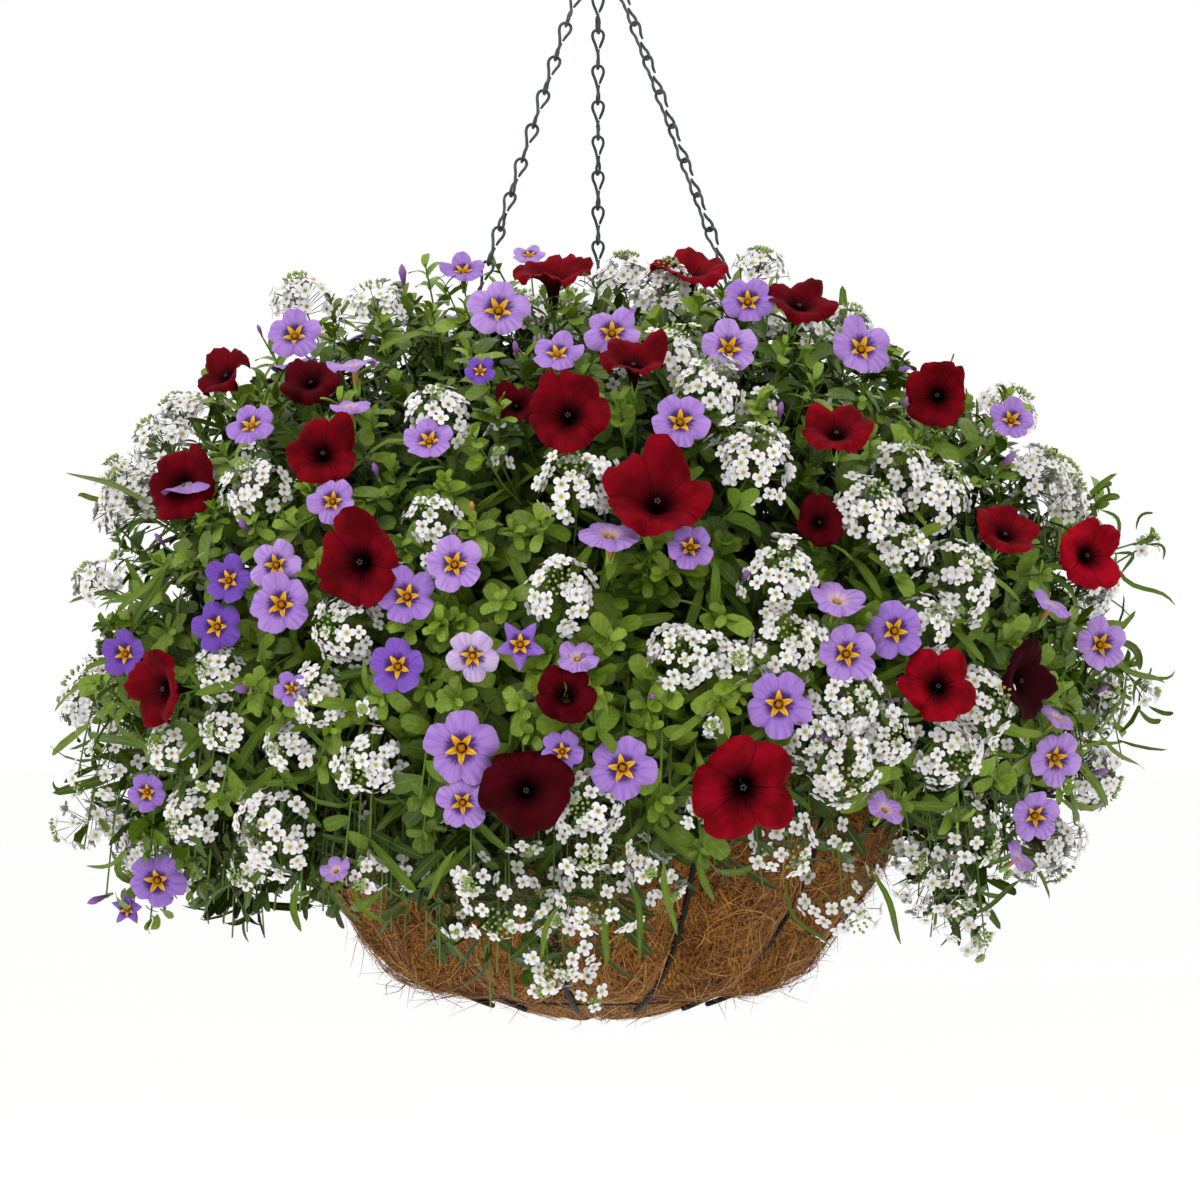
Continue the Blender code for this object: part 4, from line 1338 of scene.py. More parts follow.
# Alyssum heads read the same way: pixel column, row and width
ALYSSUM_SEEN = (
    (300, 295, 58), (375, 305, 60), (160, 440, 66), (125, 490, 60), (95, 580, 50), (255, 483, 62), (437, 410, 60),
    (430, 515, 46), (342, 627, 60), (315, 697, 54), (365, 765, 58), (268, 830, 74), (165, 745, 46), (95, 775, 62),
    (75, 825, 62), (215, 672, 48), (285, 750, 42), (575, 480, 72), (560, 590, 66), (625, 275, 60), (668, 282, 58),
    (672, 350, 62), (710, 385, 62), (755, 455, 78), (870, 505, 64), (940, 490, 64), (965, 575, 72), (780, 570, 66),
    (788, 640, 60), (685, 655, 66), (850, 700, 66), (845, 770, 70), (985, 700, 66), (950, 755, 66), (905, 462, 50),
    (1040, 470, 60), (1065, 495, 56), (585, 805, 58), (592, 850, 60), (600, 905, 70), (505, 910, 74), (560, 960, 66),
    (790, 850, 60), (850, 912, 62), (945, 895, 66), (980, 840, 56), (975, 930, 50), (365, 880, 34), (760, 265, 46),
    (850, 322, 46), (905, 545, 50), (930, 620, 52), (545, 985, 34), (470, 880, 36), (185, 820, 48), (120, 470, 40),
    (735, 660, 36), (815, 735, 50), (890, 735, 50), (220, 730, 40), (650, 870, 26), (700, 810, 30), (245, 870, 44),
    (1150, 541, 22), (1151, 692, 22),
)

# Closed buds and withered blooms of calibrachoa: pixel column, row and length
BUDS_SEEN = (
    (245, 527, 24, Look.BUD), (403, 277, 26, Look.BUD), (376, 471, 20, Look.BUD), (472, 508, 16, Look.HUSK),
    (745, 576, 20, Look.BUD), (780, 412, 22, Look.BUD), (806, 732, 50, Look.WILT), (1098, 772, 22, Look.BUD),
    (1100, 690, 20, Look.BUD), (585, 660, 30, Look.BUD), (516, 350, 20, Look.BUD), (260, 331, 14, Look.BUD),
    (560, 700, 16, Look.HUSK), (160, 540, 18, Look.BUD), (905, 405, 18, Look.BUD),
)

# Leafy calibrachoa tips that stand out between the flowers, as pixels
LEAFY_TIPS = (
    (425, 264), (445, 285), (405, 298), (465, 306), (380, 318), (740, 264), (770, 288), (800, 312), (850, 338),
    (235, 398), (210, 382), (262, 402), (320, 480), (330, 300), (445, 480), (470, 522), (400, 548), (432, 500),
    (545, 690), (520, 705), (590, 692), (740, 690), (725, 705), (940, 430), (965, 402), (915, 440), (100, 688),
    (115, 700), (1108, 498), (1128, 662), (590, 405), (620, 402), (500, 404), (472, 434), (545, 300), (575, 300),
    (655, 320), (700, 300), (785, 345), (815, 380), (250, 520), (285, 520), (405, 625), (380, 700), (455, 700),
    (870, 440), (900, 560), (1010, 640), (1060, 690), (190, 560), (155, 560), (120, 620),
    (250, 690), (330, 730), (420, 800), (660, 800), (700, 850), (900, 800), (960, 820), (1000, 780), (220, 800),
    (840, 420), (760, 400), (680, 480), (540, 520), (500, 600), (440, 620), (610, 640), (650, 700), (560, 600),
    (150, 850), (186, 862), (192, 892), (140, 838), (106, 896), (150, 922),
)

# Tips of the long thin sprigs that stand out of the ball at both sides, as pixels
SPRIG_TIPS = ((1136, 543), (1146, 704), (1120, 585), (1118, 650), (1122, 760), (78, 775), (108, 735), (84, 850),
              (1075, 825), (985, 940), (205, 912), (300, 912), (95, 690), (1100, 492))

# Long curved leaves outside the ball: foot and tip as pixels, then bow to the right of travel and width
LONG_LEAVES = (
    (1100, 510, 1117, 548, -4, 4), (1132, 545, 1151, 527, 4, 7), (1136, 530, 1152, 512, -7, 3),
    (1145, 545, 1163, 560, -3, 3), (1112, 554, 1121, 574, -9, 4), (1112, 558, 1175, 605, 12, 5),
    (1112, 640, 1140, 670, -4, 9), (1108, 655, 1165, 683, 6, 7), (1134, 706, 1175, 671, -18, 4),
    (1148, 706, 1173, 712, 2, 5), (1138, 708, 1161, 721, 5, 6), (1098, 732, 1145, 770, 5, 6),
    (1058, 798, 1079, 831, -4, 7), (1092, 512, 1120, 497, -4, 8), (1090, 500, 1112, 484, -4, 7),
    (150, 750, 87, 731, 5, 9), (75, 790, 53, 781, 1, 4), (130, 848, 86, 866, -4, 5),
    (125, 850, 134, 884, 4, 9), (236, 884, 200, 920, 7, 4), (268, 866, 251, 900, 5, 8),
    (150, 505, 66, 473, 3, 7), (110, 500, 78, 496, -3, 6),
    (160, 580, 98, 608, -8, 5), (170, 560, 112, 622, -6, 7), (165, 570, 130, 640, -4, 8),
    (300, 880, 306, 921, 3, 7), (355, 880, 390, 912, 4, 5),
    (612, 900, 606, 955, 4, 7), (630, 880, 640, 948, -4, 6), (560, 905, 540, 950, 5, 6),
    (664, 860, 676, 925, 3, 7), (700, 850, 712, 892, 3, 7), (786, 880, 828, 936, 9, 4),
    (870, 870, 896, 934, -4, 6), (1020, 880, 960, 905, 4, 5), (455, 850, 430, 890, 3, 6),
)

# Petunia blooms deep between the others, that only the looks hold: pixel column, row and width
PETUNIAS_BEHIND = ((822, 520, 48), (308, 376, 58), (515, 402, 44))

# Where each petunia bloom of the CAD looks: degrees to the right of the camera, degrees up, and tint; a low tint paints
# a bloom that sits in shade darker, as painted shade
PETUNIAS_SEEN = (
    (0, 35, 0.6), (0, 68, 0.6), (0, 65, 0.7), (20, 50, 0.4), (-10, 20, 0.5), (0, 55, 0.5), (-10, 10, 0.5),
    (0, 45, 0.6), (0, 20, 0.5), (-40, 40, 0.4), (-20, 10, 0.4), (-20, 5, 0.5), (-50, 0, 0.5), (0, 5, 0.1),
    (0, -5, 0.7), (0, 10, 0.8), (45, 0, 0.0), (20, 5, 1.0), (20, 40, 0.6), (0, 20, 0.2),
)
COVERED_PETUNIAS = (10, 20)


@dataclass
class Planting:
    """Six plants of three kinds, grown shoot by shoot from their crowns to their flowers."""

    canopy: Canopy
    rng: np.random.Generator
    filler_count: int = 700
    around_count: int = 620
    patch_count: int = 44
    stem_steps: int = 9
    skirt_count: int = 370
    left_skirt_count: int = 90
    leaf_room: dict = field(default_factory=lambda: {Kind.ALYSSUM: 0.85, Kind.CALIBRACHOA: 0.85, Kind.PETUNIA: 0.74})
    company: int = 1
    small_share: dict = field(default_factory=lambda: {Kind.ALYSSUM: 0.28, Kind.CALIBRACHOA: 0.03, Kind.PETUNIA: 0.0})
    widest: float = 0.284
    trails: tuple = ((-12, 0.070), (-52, 0.024), (45, 0.006), (92, 0.058), (150, 0.050), (212, 0.020), (270, 0.046))
    plants: tuple = (("alyssum_front", Kind.ALYSSUM, -23), ("calibrachoa_right", Kind.CALIBRACHOA, 35),
                     ("petunia_right", Kind.PETUNIA, 93), ("alyssum_back", Kind.ALYSSUM, 151),
                     ("calibrachoa_back", Kind.CALIBRACHOA, 212), ("petunia_left", Kind.PETUNIA, 276))

    def __post_init__(self) -> None:
        """Sets out the plants."""
        self.grown = [Plant(name, kind, azimuth) for name, kind, azimuth in self.plants]
        self.heads: list[Head] = []
        self.small_heads: list[Head] = []
        self.alyssum = AlyssumForm()

    def hem(self, places: np.ndarray) -> np.ndarray:
        """Depth below the rim to which the planting hangs at each place's azimuth."""
        azimuth = np.degrees(np.arctan2(places[:, 0], -places[:, 1]))
        depth = np.full(len(places), 0.076)
        for middle, extra in self.trails:
            off = (azimuth - middle + 180) % 360 - 180
            depth += extra * np.exp(-((off / 21) ** 2))
        return depth

    def owner(self, kind: Kind, place: np.ndarray) -> Plant:
        """The plant of a kind whose crown is nearest to a place."""
        return min((p for p in self.grown if p.kind is kind), key=lambda p: float(np.linalg.norm(p.crown() - place)))

    def look_out(self, place: np.ndarray, to_camera: float, upward: float) -> np.ndarray:
        """A facing between the canopy's own, the camera's side and straight up."""
        way = self.canopy.normal(place) + np.array([0, -to_camera, upward])
        return unit(way + self.rng.normal(0, 0.10, 3))

    def petunias_seen(self) -> None:
        """Heads for the petunia blooms that the CAD holds."""
        for i, (aside, raised, tint) in enumerate(PETUNIAS_SEEN):
            node = f"petunia_bloom_{i + 1:02d}"
            low, high = (np.array(corner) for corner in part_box(node))
            yaw, pitch = math.radians(aside), math.radians(raised)
            facing = np.array([math.sin(yaw) * math.cos(pitch), -math.cos(yaw) * math.cos(pitch), math.sin(pitch)])
            radius = float((high - low).max()) * 0.52
            self.heads.append(Head(Kind.PETUNIA, (low + high) / 2, facing, radius, tint=tint, node=node,
                                   covered=i + 1 in COVERED_PETUNIAS))
        for x, y, width in PETUNIAS_BEHIND:
            place = self.canopy.seen_at(x, y) + np.array([0, 0.008, 0])
            facing = self.look_out(place, 1.2, 0.3)
            # A low tint paints these blooms darker, as painted shade deep among the others.
            self.heads.append(Head(Kind.PETUNIA, place, facing, width / PIXELS_PER_METRE / 2, tint=0.2,
                                   covered=True))

    def small_heads_seen(self) -> None:
        """Heads for the calibrachoa and alyssum that the photograph shows."""
        for x, y, width, look in CALIBRACHOA_SEEN:
            place = self.canopy.seen_at(x, y)
            tilt = {Look.SIDE: (0.05, 1.3), Look.UP: (0.95, 0.55), Look.PALE: (0.2, -0.3)}.get(look, (2.0, 0.3))
            facing = self.look_out(place, *tilt)
            place = place + self.canopy.normal(place) * 0.006
            self.heads.append(Head(Kind.CALIBRACHOA, place, facing, width / PIXELS_PER_METRE * 0.49, look))
        for x, y, length, look in BUDS_SEEN:
            place = self.canopy.seen_at(x, y)
            facing = self.look_out(place, 0.1, 0.6) if look is not Look.WILT else unit(np.array([1.0, -0.3, -0.3]))
            self.heads.append(Head(Kind.CALIBRACHOA, place, facing, length / PIXELS_PER_METRE * 0.5, look))
        for x, y, width in ALYSSUM_SEEN:
            place = self.canopy.seen_at(x, y)
            facing = self.look_out(place, 0.35, 0.45)
            loose = 0.6 if (x < 130 and y > 700) or y > 830 or x > 1120 else 0.12
            self.heads.append(Head(Kind.ALYSSUM, place, facing, width / PIXELS_PER_METRE * 0.5, loose=loose))

    def heads_around(self) -> None:
        """Heads over the top, sides and back, which the photograph does not show."""
        rng = self.rng
        ways = self.canopy.spread(self.around_count, -0.55)
        ways = unit(ways + rng.normal(0, 0.035, ways.shape))
        rng.shuffle(ways)
        patches = unit(rng.normal(0, 1, (self.patch_count, 3)) * [1, 1, 0.6])
        patch_kinds = rng.choice(3, self.patch_count, p=(0.40, 0.38, 0.22))
        shares = np.where((ways[:, 2] > 0.45) & (ways[:, 1] > -0.35), 0.90, 0.975)
        kinds = (Kind.ALYSSUM, Kind.CALIBRACHOA, Kind.PETUNIA)
        sizes = {Kind.ALYSSUM: (0.011, 0.020), Kind.CALIBRACHOA: (0.0122, 0.0148), Kind.PETUNIA: (0.018, 0.025)}
        looks = [Look.FRONT] * 7 + [Look.DEEP, Look.DEEP, Look.UP, Look.UP, Look.SIDE, Look.STAR]
        for way, place in zip(ways, self.canopy.place(ways, shares)):
            kind = kinds[patch_kinds[np.argmax(patches @ way)] if rng.random() < 0.75 else rng.choice(3)]
            if abs(place[0]) > 0.19 and place[1] < 0.07:
                if rng.random() < (0.65 if place[0] < 0 else 0.30):
                    continue
                kind = Kind.ALYSSUM
            radius = float(rng.uniform(*sizes[kind]))
            look, tint, spare = looks[rng.integers(len(looks))], rng.uniform(0.2, 0.8), rng.uniform(-0.002, 0.016)
            over_hem = place[2] > RIM_Z - float(self.hem(place[None])[0]) + 0.012
            unseen = place[1] > -0.06 or (place[2] > RIM_Z + 0.180 and place[1] > -0.10)
            if kind is Kind.PETUNIA:
                unseen = place[1] > 0.06 and place[2] > RIM_Z - 0.04
            taken = np.array([h.place for h in self.heads])
            reach = np.array([h.radius for h in self.heads])
            close = (np.linalg.norm(taken - place, axis=1) < reach + 0.8 * radius + spare).any()
            if not over_hem or not unseen or close:
                continue
            facing = self.look_out(place, 0.0, {Look.SIDE: 1.3, Look.UP: 0.6}.get(look, 0.2))
            self.heads.append(Head(kind, place, facing, radius, look, tint=tint))

    def clear(self, spots: np.ndarray) -> np.ndarray:
        """Which spots don't stand in front of a flower."""
        wide = [h for h in self.heads if h.radius > 0.009 and not h.covered]
        places = np.array([h.place for h in wide])
        facings = np.array([h.facing for h in wide])
        radii = np.array([h.radius * self.leaf_room[h.kind] for h in wide])
        off = spots[:, None] - places[None]
        ahead = np.einsum("ijk,jk->ij", off, facings)
        aside = np.linalg.norm(off - ahead[..., None] * facings[None], axis=2)
        blocking = (ahead > -0.3 * radii) & (ahead < 0.06) & (aside < radii)
        return ~blocking.any(axis=1)

    def paths(self, plant: Plant, ends: np.ndarray, arrive: np.ndarray) -> np.ndarray:
        """Stem curves from a plant's crown to the given ends.

        Args:
            plant: The plant.
            ends: Where the stems end.
            arrive: Which way each stem points there.

        Returns:
            Stems, points and coordinates.
        """
        count = len(ends)
        root = plant.crown() + self.rng.normal(0, 1, (count, 3)) * [0.011, 0.011, 0.001]
        span = np.linalg.norm(ends - root, axis=1, keepdims=True)
        level = unit((ends - plant.crown()) * [1, 1, 0])
        first = root + level * span * 0.12 + np.array([0, 0, 1.0]) * span * 0.34
        second = ends - arrive * span * 0.30 + self.rng.normal(0, 0.010, (count, 3))
        out = unit(ends * [1, 1, 0])
        far = np.maximum(np.linalg.norm(ends[:, :2], axis=1, keepdims=True), 0.19) + 0.010
        hang = out * far
        hang[:, 2] = RIM_Z + 0.35 * (ends[:, 2] - RIM_Z) + 0.05
        low = np.clip((RIM_Z + 0.05 - ends[:, 2:]) / 0.08, 0, 1)
        second = second * (1 - low) + hang * low
        t = np.linspace(0, 1, self.stem_steps)[None, :, None]
        parts = [(1 - t) ** 3, 3 * (1 - t) ** 2 * t, 3 * (1 - t) * t**2, t**3]
        return sum(w * p[:, None] for w, p in zip(parts, (root, first, second, ends)))

    def leaf(self, plant: Plant, spots: np.ndarray, along: np.ndarray, upper: np.ndarray, lengths: np.ndarray,
             tints: np.ndarray) -> None:
        """Adds leaves of a plant's kind, split over a few bent forms.

        Args:
            plant: The plant.
            spots: Where the leaves start.
            along: Which way they run.
            upper: Which way their upper sides look.
            lengths: Their lengths.
            tints: 0 for old leaves and for leaves painted dark as shade, 1 for young ones.
        """
        growth = GROWTHS[plant.kind]
        tips = spots + unit(along) * lengths[:, None]
        middles = spots + unit(along) * lengths[:, None] * 0.55
        keep = (self.clear(tips) & self.clear(middles)) | (self.rng.random(len(spots)) < 0.06)
        keep &= (np.abs(tips[:, :2]) < self.widest).all(axis=1)
        turns = blade_turns(along, upper)
        form = self.rng.integers(0, 4, len(spots))
        for i in range(4):
            shape = growth.form.shape(growth.arch * (0.25 + 0.5 * i), growth.fold * (1.3 - 0.25 * i))
            mine = keep & (form == i)
            plant.leaves.add(shape, turns[mine], spots[mine], lengths[mine], tints[mine])

    def shoots(self, plant: Plant, ends: np.ndarray, arrive: np.ndarray, leafy: np.ndarray) -> None:
        """Grows stems to the given ends with their leaves, and small heads on some of the leafy ones.

        Args:
            plant: The plant.
            ends: Where the stems end.
            arrive: Which way each points there.
            leafy: Whether each ends in a rosette of young leaves.
        """
        if not len(ends):
            return
        growth, rng = GROWTHS[plant.kind], self.rng
        curves = self.paths(plant, ends, arrive)
        taper = np.linspace(1.25, 0.62, self.stem_steps)[None] * growth.stem_r * rng.uniform(0.85, 1.15, (len(ends), 1))
        plant.shoots.add_tubes(curves, taper, 3, rng.random(len(ends)))
        count = growth.per_shoot
        t = growth.start + (0.97 - growth.start) * (np.arange(count) + 0.5) / count
        t = np.clip(t[None] + rng.normal(0, 0.012, (len(ends), count)), 0, 0.985)
        step = t * (self.stem_steps - 1)
        index = step.astype(int)
        part = (step - index)[..., None]
        row = np.arange(len(ends))[:, None]
        spots = curves[row, index] * (1 - part) + curves[row, index + 1] * part
        aim = unit(curves[row, index + 1] - curves[row, index])
        self.dress(plant, spots.reshape(-1, 3), aim.reshape(-1, 3), np.tile(np.arange(count), len(ends)),
                   np.repeat(rng.uniform(0, 6.28, len(ends)), count), t.reshape(-1), growth.open_degrees, 1.0)
        few = leafy & (rng.random(len(ends)) < self.small_share[plant.kind])
        for end, way in zip(ends[few], arrive[few]):
            radius = float(rng.uniform(0.004, 0.0085))
            self.small_heads.append(Head(plant.kind, end + way * 0.004, way, radius, Look.BUD, loose=0.7))
        if growth.rosette and leafy.any():
            tips, ways = ends[leafy], arrive[leafy]
            for ring in range(growth.rosette):
                opening = 26 + 48 * ring / growth.rosette
                shrink = 0.45 + 0.4 * ring / growth.rosette
                back = tips - ways * 0.0018 * ring
                self.dress(plant, back, ways, np.full(len(tips), ring), np.zeros(len(tips)),
                           np.full(len(tips), 1.12), opening, shrink)

    def dress(self, plant: Plant, spots: np.ndarray, aim: np.ndarray, order: np.ndarray, phase: np.ndarray,
              age: np.ndarray, opening: float, size: float) -> None:
        """Adds leaves at points of the stems, turned round them in the golden angle.

        Args:
            plant: The plant.
            spots: Points on the stems.
            aim: The stems' directions there.
            order: Each leaf's number along its stem.
            phase: Each stem's starting angle.
            age: 0 at the crown, 1 at the tip.
            opening: Angle in degrees between leaf and stem.
            size: Scale of the leaves.
        """
        growth, rng, count = GROWTHS[plant.kind], self.rng, len(spots)
        turn = order * GOLDEN_ANGLE + phase + rng.normal(0, 0.3, count)
        out = self.canopy.normal(spots)
        side = unit(np.cross(aim, out) + 1e-6)
        other = np.cross(side, aim)
        round_way = np.cos(turn)[:, None] * side + np.sin(turn)[:, None] * other
        lean = np.radians(opening + rng.normal(0, 9, count))[:, None]
        along = unit(aim * np.cos(lean) + round_way * np.sin(lean) + out * 0.18 + [0, 0, 0.10])
        upper = unit(out * 0.75 + np.array([0, 0, 0.45]) + aim * 0.3 + rng.normal(0, 0.28, (count, 3)))
        low, high = growth.shortest, growth.longest
        lengths = (low + (high - low) * rng.beta(2, 2, count)) * size
        # Leaves deeper inside the canopy and leaves hanging below the rim get a darker green as painted shade; a low
        # age adds the darker green of old leaves.
        away = spots - self.canopy.centre
        outer = np.linalg.norm(away, axis=1) / self.canopy.reach(unit(away))
        shade = 0.35 * np.clip((RIM_Z - 0.02 - spots[:, 2]) / 0.06, 0, 1)
        tints = 0.9 * (outer - 0.68) / 0.32 * age**0.5 - 0.05 - shade + rng.normal(0, 0.14, count)
        tints = np.clip(tints, 0, 1)
        self.leaf(plant, spots, along, upper, lengths, tints)

    def grow_heads(self) -> None:
        """Grows a shoot to each flower."""
        for plant in self.grown:
            mine = [h for h in self.heads if self.owner(h.kind, h.place) is plant]
            foot = {Kind.ALYSSUM: 0.5, Kind.CALIBRACHOA: 1.15, Kind.PETUNIA: 1.25}[plant.kind]
            ends = np.array([h.place - h.facing * h.radius * foot for h in mine])
            arrive = np.array([h.facing for h in mine])
            self.shoots(plant, ends, arrive, np.zeros(len(mine), bool))
            LOG.info("%s: %d flowering shoots", plant.name, len(mine))

    def grow_fillers(self) -> None:
        """Grows the leafy shoots between the flowers, and the long sprigs at the sides."""
        ways = self.canopy.spread(self.filler_count, -0.80)
        ways = unit(ways + self.rng.normal(0, 0.03, ways.shape))
        tips = self.canopy.place(ways, self.rng.uniform(0.86, 0.985, len(ways)))
        tips = tips[tips[:, 2] > RIM_Z - self.hem(tips)]
        places = np.array([h.place for h in self.heads])
        radii = np.array([h.radius for h in self.heads])
        near = (np.linalg.norm(tips[:, None] - places[None], axis=2) < radii + 0.006).any(axis=1)
        tips[near] = self.canopy.centre + (tips[near] - self.canopy.centre) * 0.91
        upper = tips[:, 2] > RIM_Z + 0.02
        kinds = np.where(upper, self.rng.choice(3, len(tips), p=(0.37, 0.56, 0.07)),
                         self.rng.choice(3, len(tips), p=(0.68, 0.24, 0.08)))
        order = (Kind.ALYSSUM, Kind.CALIBRACHOA, Kind.PETUNIA)
        owners = [self.owner(order[k], tip) for k, tip in zip(kinds, tips)]
        arrive = unit(self.canopy.normal(tips) + [0, 0, 0.35] + self.rng.normal(0, 0.25, tips.shape))
        for plant in self.grown:
            mine = np.array([o is plant for o in owners])
            self.shoots(plant, tips[mine], arrive[mine], np.ones(int(mine.sum()), bool))
        self.grow_skirt()
        self.grow_company()
        sprigs = np.array([self.canopy.seen_at(x, y) for x, y in SPRIG_TIPS])
        for plant in self.grown:
            mine = np.array([self.owner(Kind.ALYSSUM, s) is plant for s in sprigs])
            ends = sprigs[mine]
            if len(ends):
                self.shoots(plant, ends, unit(self.canopy.normal(ends) + [0, 0, 0.2]), np.zeros(len(ends), bool))
        self.grow_long_leaves()

    def grow_long_leaves(self) -> None:
        """Adds the long curved leaves read from the photograph."""
        share = np.linspace(0, 1, 9)
        for x0, y0, x1, y1, bow, width in LONG_LEAVES:
            foot, tip = self.canopy.seen_at(x0, y0), self.canopy.seen_at(x1, y1)
            out = self.canopy.normal(foot)
            tip = tip + out * 0.006 * (abs(x1 - 600) < 400)
            run = tip - foot
            aside = unit(np.cross(run, np.array([0.0, 1.0, 0.0])))
            arc = np.sin(share * math.pi)[:, None]
            wave = arc + 0.45 * np.sin(share * math.tau)[:, None]
            path = foot + run * share[:, None] - aside * wave * bow / PIXELS_PER_METRE
            path = path + out * arc * 0.004
            half = width / PIXELS_PER_METRE / 2 * np.maximum(np.sin(share**0.8 * math.pi) ** 0.6, 0.12)
            blade = ribbon(path, half, np.array([self.rng.normal(0, 0.25), -1.0, 0.35]))
            self.owner(Kind.ALYSSUM, foot).leaves.add_one(blade, float(self.rng.uniform(0.3, 0.75)))

    def grow_company(self) -> None:
        """Grows the leafy tips read from the photograph, and leafy shoots round the flowers read from it."""
        tips = np.array([self.canopy.seen_at(x, y) for x, y in LEAFY_TIPS])
        arrive = unit(self.canopy.normal(tips) + [0, -0.3, 0.5] + self.rng.normal(0, 0.12, tips.shape))
        for plant in self.grown:
            mine = np.array([self.owner(Kind.CALIBRACHOA, tip) is plant for tip in tips])
            self.shoots(plant, tips[mine], arrive[mine], np.ones(int(mine.sum()), bool))
        seen = [h for h in self.heads if h.place[1] < 0.03]
        for plant in self.grown:
            mine = [h for h in seen if self.owner(h.kind, h.place) is plant] * self.company
            if not mine:
                continue
            aside = self.rng.normal(0, 1, (len(mine), 3))
            facing = np.array([h.facing for h in mine])
            aside = unit(aside - np.sum(aside * facing, axis=1, keepdims=True) * facing)
            reach = np.array([h.radius for h in mine]) + self.rng.uniform(0.002, 0.012, len(mine))
            tips = np.array([h.place for h in mine]) + aside * reach[:, None] - facing * 0.012
            inward = np.linalg.norm(tips - self.canopy.centre, axis=1) < self.canopy.reach(
                unit(tips - self.canopy.centre)) * 1.03
            self.shoots(plant, tips[inward], unit(facing + aside * 0.5)[inward], np.ones(int(inward.sum()), bool))

    def grow_skirt(self) -> None:
        """Grows the shoots that hang over the rim and hide the top of the liner."""
        count = self.skirt_count + self.left_skirt_count
        turn = np.arange(count) * GOLDEN_ANGLE
        turn[self.skirt_count:] = np.radians(self.rng.uniform(-85, -18, self.left_skirt_count))
        level = np.stack([np.sin(turn), -np.cos(turn), np.zeros(count)], axis=1)
        depth = self.hem(level) * self.rng.uniform(0.35, 1.10, count)
        reach = np.interp(depth, (0.0, 0.06, 0.10, 0.16), (0.236, 0.228, 0.205, 0.178)) * self.rng.uniform(0.87, 1.0, count)
        tips = level * reach[:, None]
        tips[:, 2] = RIM_Z - depth
        order = (Kind.ALYSSUM, Kind.CALIBRACHOA, Kind.PETUNIA)
        owners = [self.owner(order[k], tip) for k, tip in zip(self.rng.choice(3, count, p=(0.80, 0.13, 0.07)), tips)]
        arrive = unit(level * 0.55 + [0, 0, -0.75] + self.rng.normal(0, 0.22, tips.shape))
        for plant in self.grown:
            mine = np.array([o is plant for o in owners])
            self.shoots(plant, tips[mine], arrive[mine], self.rng.random(int(mine.sum())) < 0.55)

    def petunia(self, head: Head, pool: MeshPool) -> None:
        """Adds a petunia bloom with its anthers and calyx. Slots: petal, sepal, anther."""
        rng = self.rng
        limb = PETUNIA_BLOOM.limb(rng, cup=rng.uniform(-0.10, 0.10))
        anthers = [crumb(2, 1.4).moved(np.eye(3), np.array([0.045 * math.cos(a), 0.045 * math.sin(a), -0.26]), 0.030)
                   for a in rng.uniform(0, 1) + np.arange(5) * math.tau / 5]
        bloom = Shape.joined([limb, PETUNIA_BLOOM.calyx(1), *anthers])
        turn = facing_turns(head.facing[None], np.array([[0, 0, 1.0]]), np.array([rng.uniform(0, 1.2)]))
        pool.add(bloom, turn, head.place[None], np.array([head.radius]), np.array([head.tint]))

    def calibrachoa(self, head: Head, pool: MeshPool) -> None:
        """Adds a calibrachoa bloom or bud. Slots: petal, sepal, petal from outside, bud, husk."""
        rng = self.rng
        closed = {Look.BUD: 3, Look.HUSK: 4, Look.WILT: 3}.get(head.look)
        if closed:
            limb = closed_bud(closed)
        else:
            star = head.look is Look.STAR
            limb = CALIBRACHOA_BLOOM.limb(rng, cup=rng.uniform(-0.05, 0.16), pointed=0.85 if star else 0.0)
            boss = crumb(0).moved(np.eye(3), np.array([0.0, 0.0, -0.16]), 0.13)
            boss.pattern = np.tile([0.11, 0.0], (len(boss.points), 1))
            limb = Shape.joined([limb, boss])
        if head.look is Look.SIDE:
            limb = limb.in_slot(2)
        bloom = Shape.joined([limb, CALIBRACHOA_BLOOM.calyx(1)])
        turn = facing_turns(head.facing[None], np.array([[0, 0, 1.0]]), np.array([rng.uniform(0, 1.26)]))
        tint = {Look.DEEP: rng.uniform(0.02, 0.12), Look.PALE: 1.0, Look.STAR: 0.2, Look.WILT: -0.8}.get(head.look, rng.uniform(0.25, 0.88))
        pool.add(bloom, turn, head.place[None], np.array([head.radius]), np.array([tint]))

    def build(self) -> None:
        """Grows everything and makes the pieces."""
        self.petunias_seen()
        self.small_heads_seen()
        self.heads_around()
        self.grow_heads()
        self.grow_fillers()
        for head in self.heads + self.small_heads:
            plant = self.owner(head.kind, head.place)
            if head.kind is Kind.ALYSSUM:
                self.alyssum.head(plant.flowers, head.place, head.facing, head.radius * 2, self.rng, head.loose)
            elif head.kind is Kind.CALIBRACHOA:
                self.calibrachoa(head, plant.flowers)
            elif head.node:
                pool = MeshPool()
                self.petunia(head, pool)
                name = head.node.replace("bloom", "flower")
                pool.make(name, [CRIMSON, SEPAL, ANTHER], "basket", "petals", [head.node])
            else:
                self.petunia(head, plant.flowers)
        finishes = {Kind.ALYSSUM: [WHITE, ALYSSUM_STEM, BUD_GREEN],
                    Kind.CALIBRACHOA: [LAVENDER, SEPAL, LAVENDER_OUTSIDE, BUD_PURPLE, DRY],
                    Kind.PETUNIA: [CRIMSON, SEPAL, ANTHER]}
        for plant in self.grown:
            growth = GROWTHS[plant.kind]
            plant.leaves.make(f"{plant.name}_leaves", [growth.finish], "basket", "leaves", [f"{plant.name}_foliage"])
            plant.shoots.make(f"{plant.name}_shoots", [growth.stem], "basket", "stems", [f"{plant.name}_stems"])
            if plant.flowers.count:
                plant.flowers.make(f"{plant.name}_flowers", finishes[plant.kind], "basket", "petals", [])


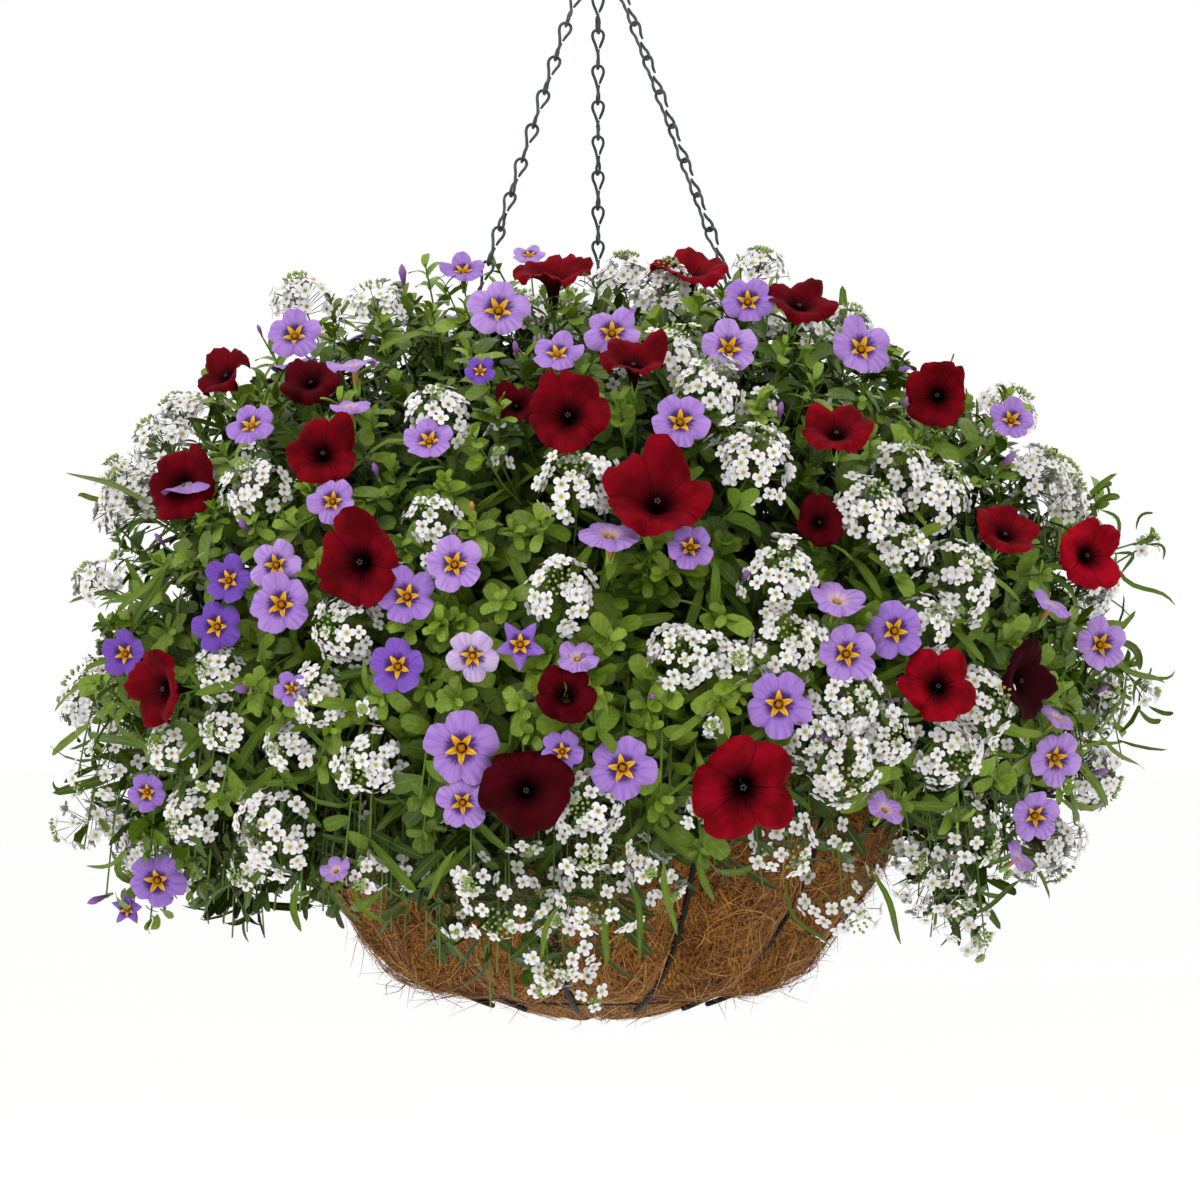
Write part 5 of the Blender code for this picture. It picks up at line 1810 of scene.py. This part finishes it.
@dataclass
class Studio:
    """The pale floor, the soft lights and the camera at the photograph's angle."""

    floor_depth: float = 0.75
    floor_size: float = 40.0
    world_strength: float = 1.0

    def floor(self) -> None:
        """A wide plain floor under the hanging basket."""
        half = self.floor_size / 2
        z = RIM_Z - self.floor_depth
        mesh = bpy.data.meshes.new("studio_floor")
        mesh.from_pydata([(-half, -half, z), (half, -half, z), (half, half, z), (-half, half, z)], [], [(0, 1, 2, 3)])
        mesh.materials.append(PAPER.material())
        made = bpy.data.objects.new("studio_floor", mesh)
        bpy.context.scene.collection.objects.link(made)

    def light(self, name: str, place: tuple, size: float, watts: float) -> None:
        """A square soft light aimed at the planting."""
        data = bpy.data.lights.new(name, "AREA")
        data.shape = "SQUARE"
        data.size = size
        data.energy = watts
        made = bpy.data.objects.new(name, data)
        made.location = place
        aim = np.array([0, 0, RIM_Z + 0.05]) - np.array(place)
        made.rotation_euler = bpy_direction(aim)
        bpy.context.scene.collection.objects.link(made)

    def camera(self) -> None:
        """A level camera in front, at the photograph's distance and scale."""
        data = bpy.data.cameras.new("photo_camera")
        data.sensor_width = 36.0
        data.lens = 36.0 * PIXELS_PER_METRE * CAMERA_DISTANCE / PHOTO_WIDTH
        made = bpy.data.objects.new("photo_camera", data)
        made.location = (CAMERA_X, -CAMERA_DISTANCE, RIM_Z + CAMERA_ABOVE_RIM)
        made.rotation_euler = (math.pi / 2, 0, 0)
        bpy.context.scene.collection.objects.link(made)
        bpy.context.scene.camera = made

    def build(self) -> None:
        """Floor, sky, lights and camera."""
        self.floor()
        world = bpy.data.worlds.new("studio_sky")
        world.use_nodes = True
        sky = world.node_tree.nodes["Background"]
        sky.inputs["Color"].default_value = linear("#FFFFFF")
        sky.inputs["Strength"].default_value = self.world_strength
        bpy.context.scene.world = world
        self.light("key_light", (-1.4, -2.2, 1.3), 1.4, 24)
        self.light("fill_light", (1.8, -2.0, 0.3), 1.8, 5)
        self.light("top_light", (0.2, 0.3, 1.9), 1.2, 9)
        self.camera()
        bpy.context.scene.view_settings.view_transform = "Standard"


def bpy_direction(aim: np.ndarray) -> tuple[float, float, float]:
    """The Euler angles that turn a light's or camera's -Z axis along a direction."""
    flat = math.hypot(aim[0], aim[1])
    return (math.atan2(flat, -aim[2]), 0.0, math.atan2(-aim[0], aim[1]))


def main() -> None:
    """Builds every piece in order."""
    logging.basicConfig(level=logging.INFO, format="%(message)s")
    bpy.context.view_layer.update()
    Studio().build()
    wires = WireFrame()
    wires.build()
    Hanger().build(np.random.default_rng(11))
    CoirLiner(wires).build(np.random.default_rng(23))
    Planting(Canopy(), np.random.default_rng(37)).build()


if __name__ == "__main__":
    main()
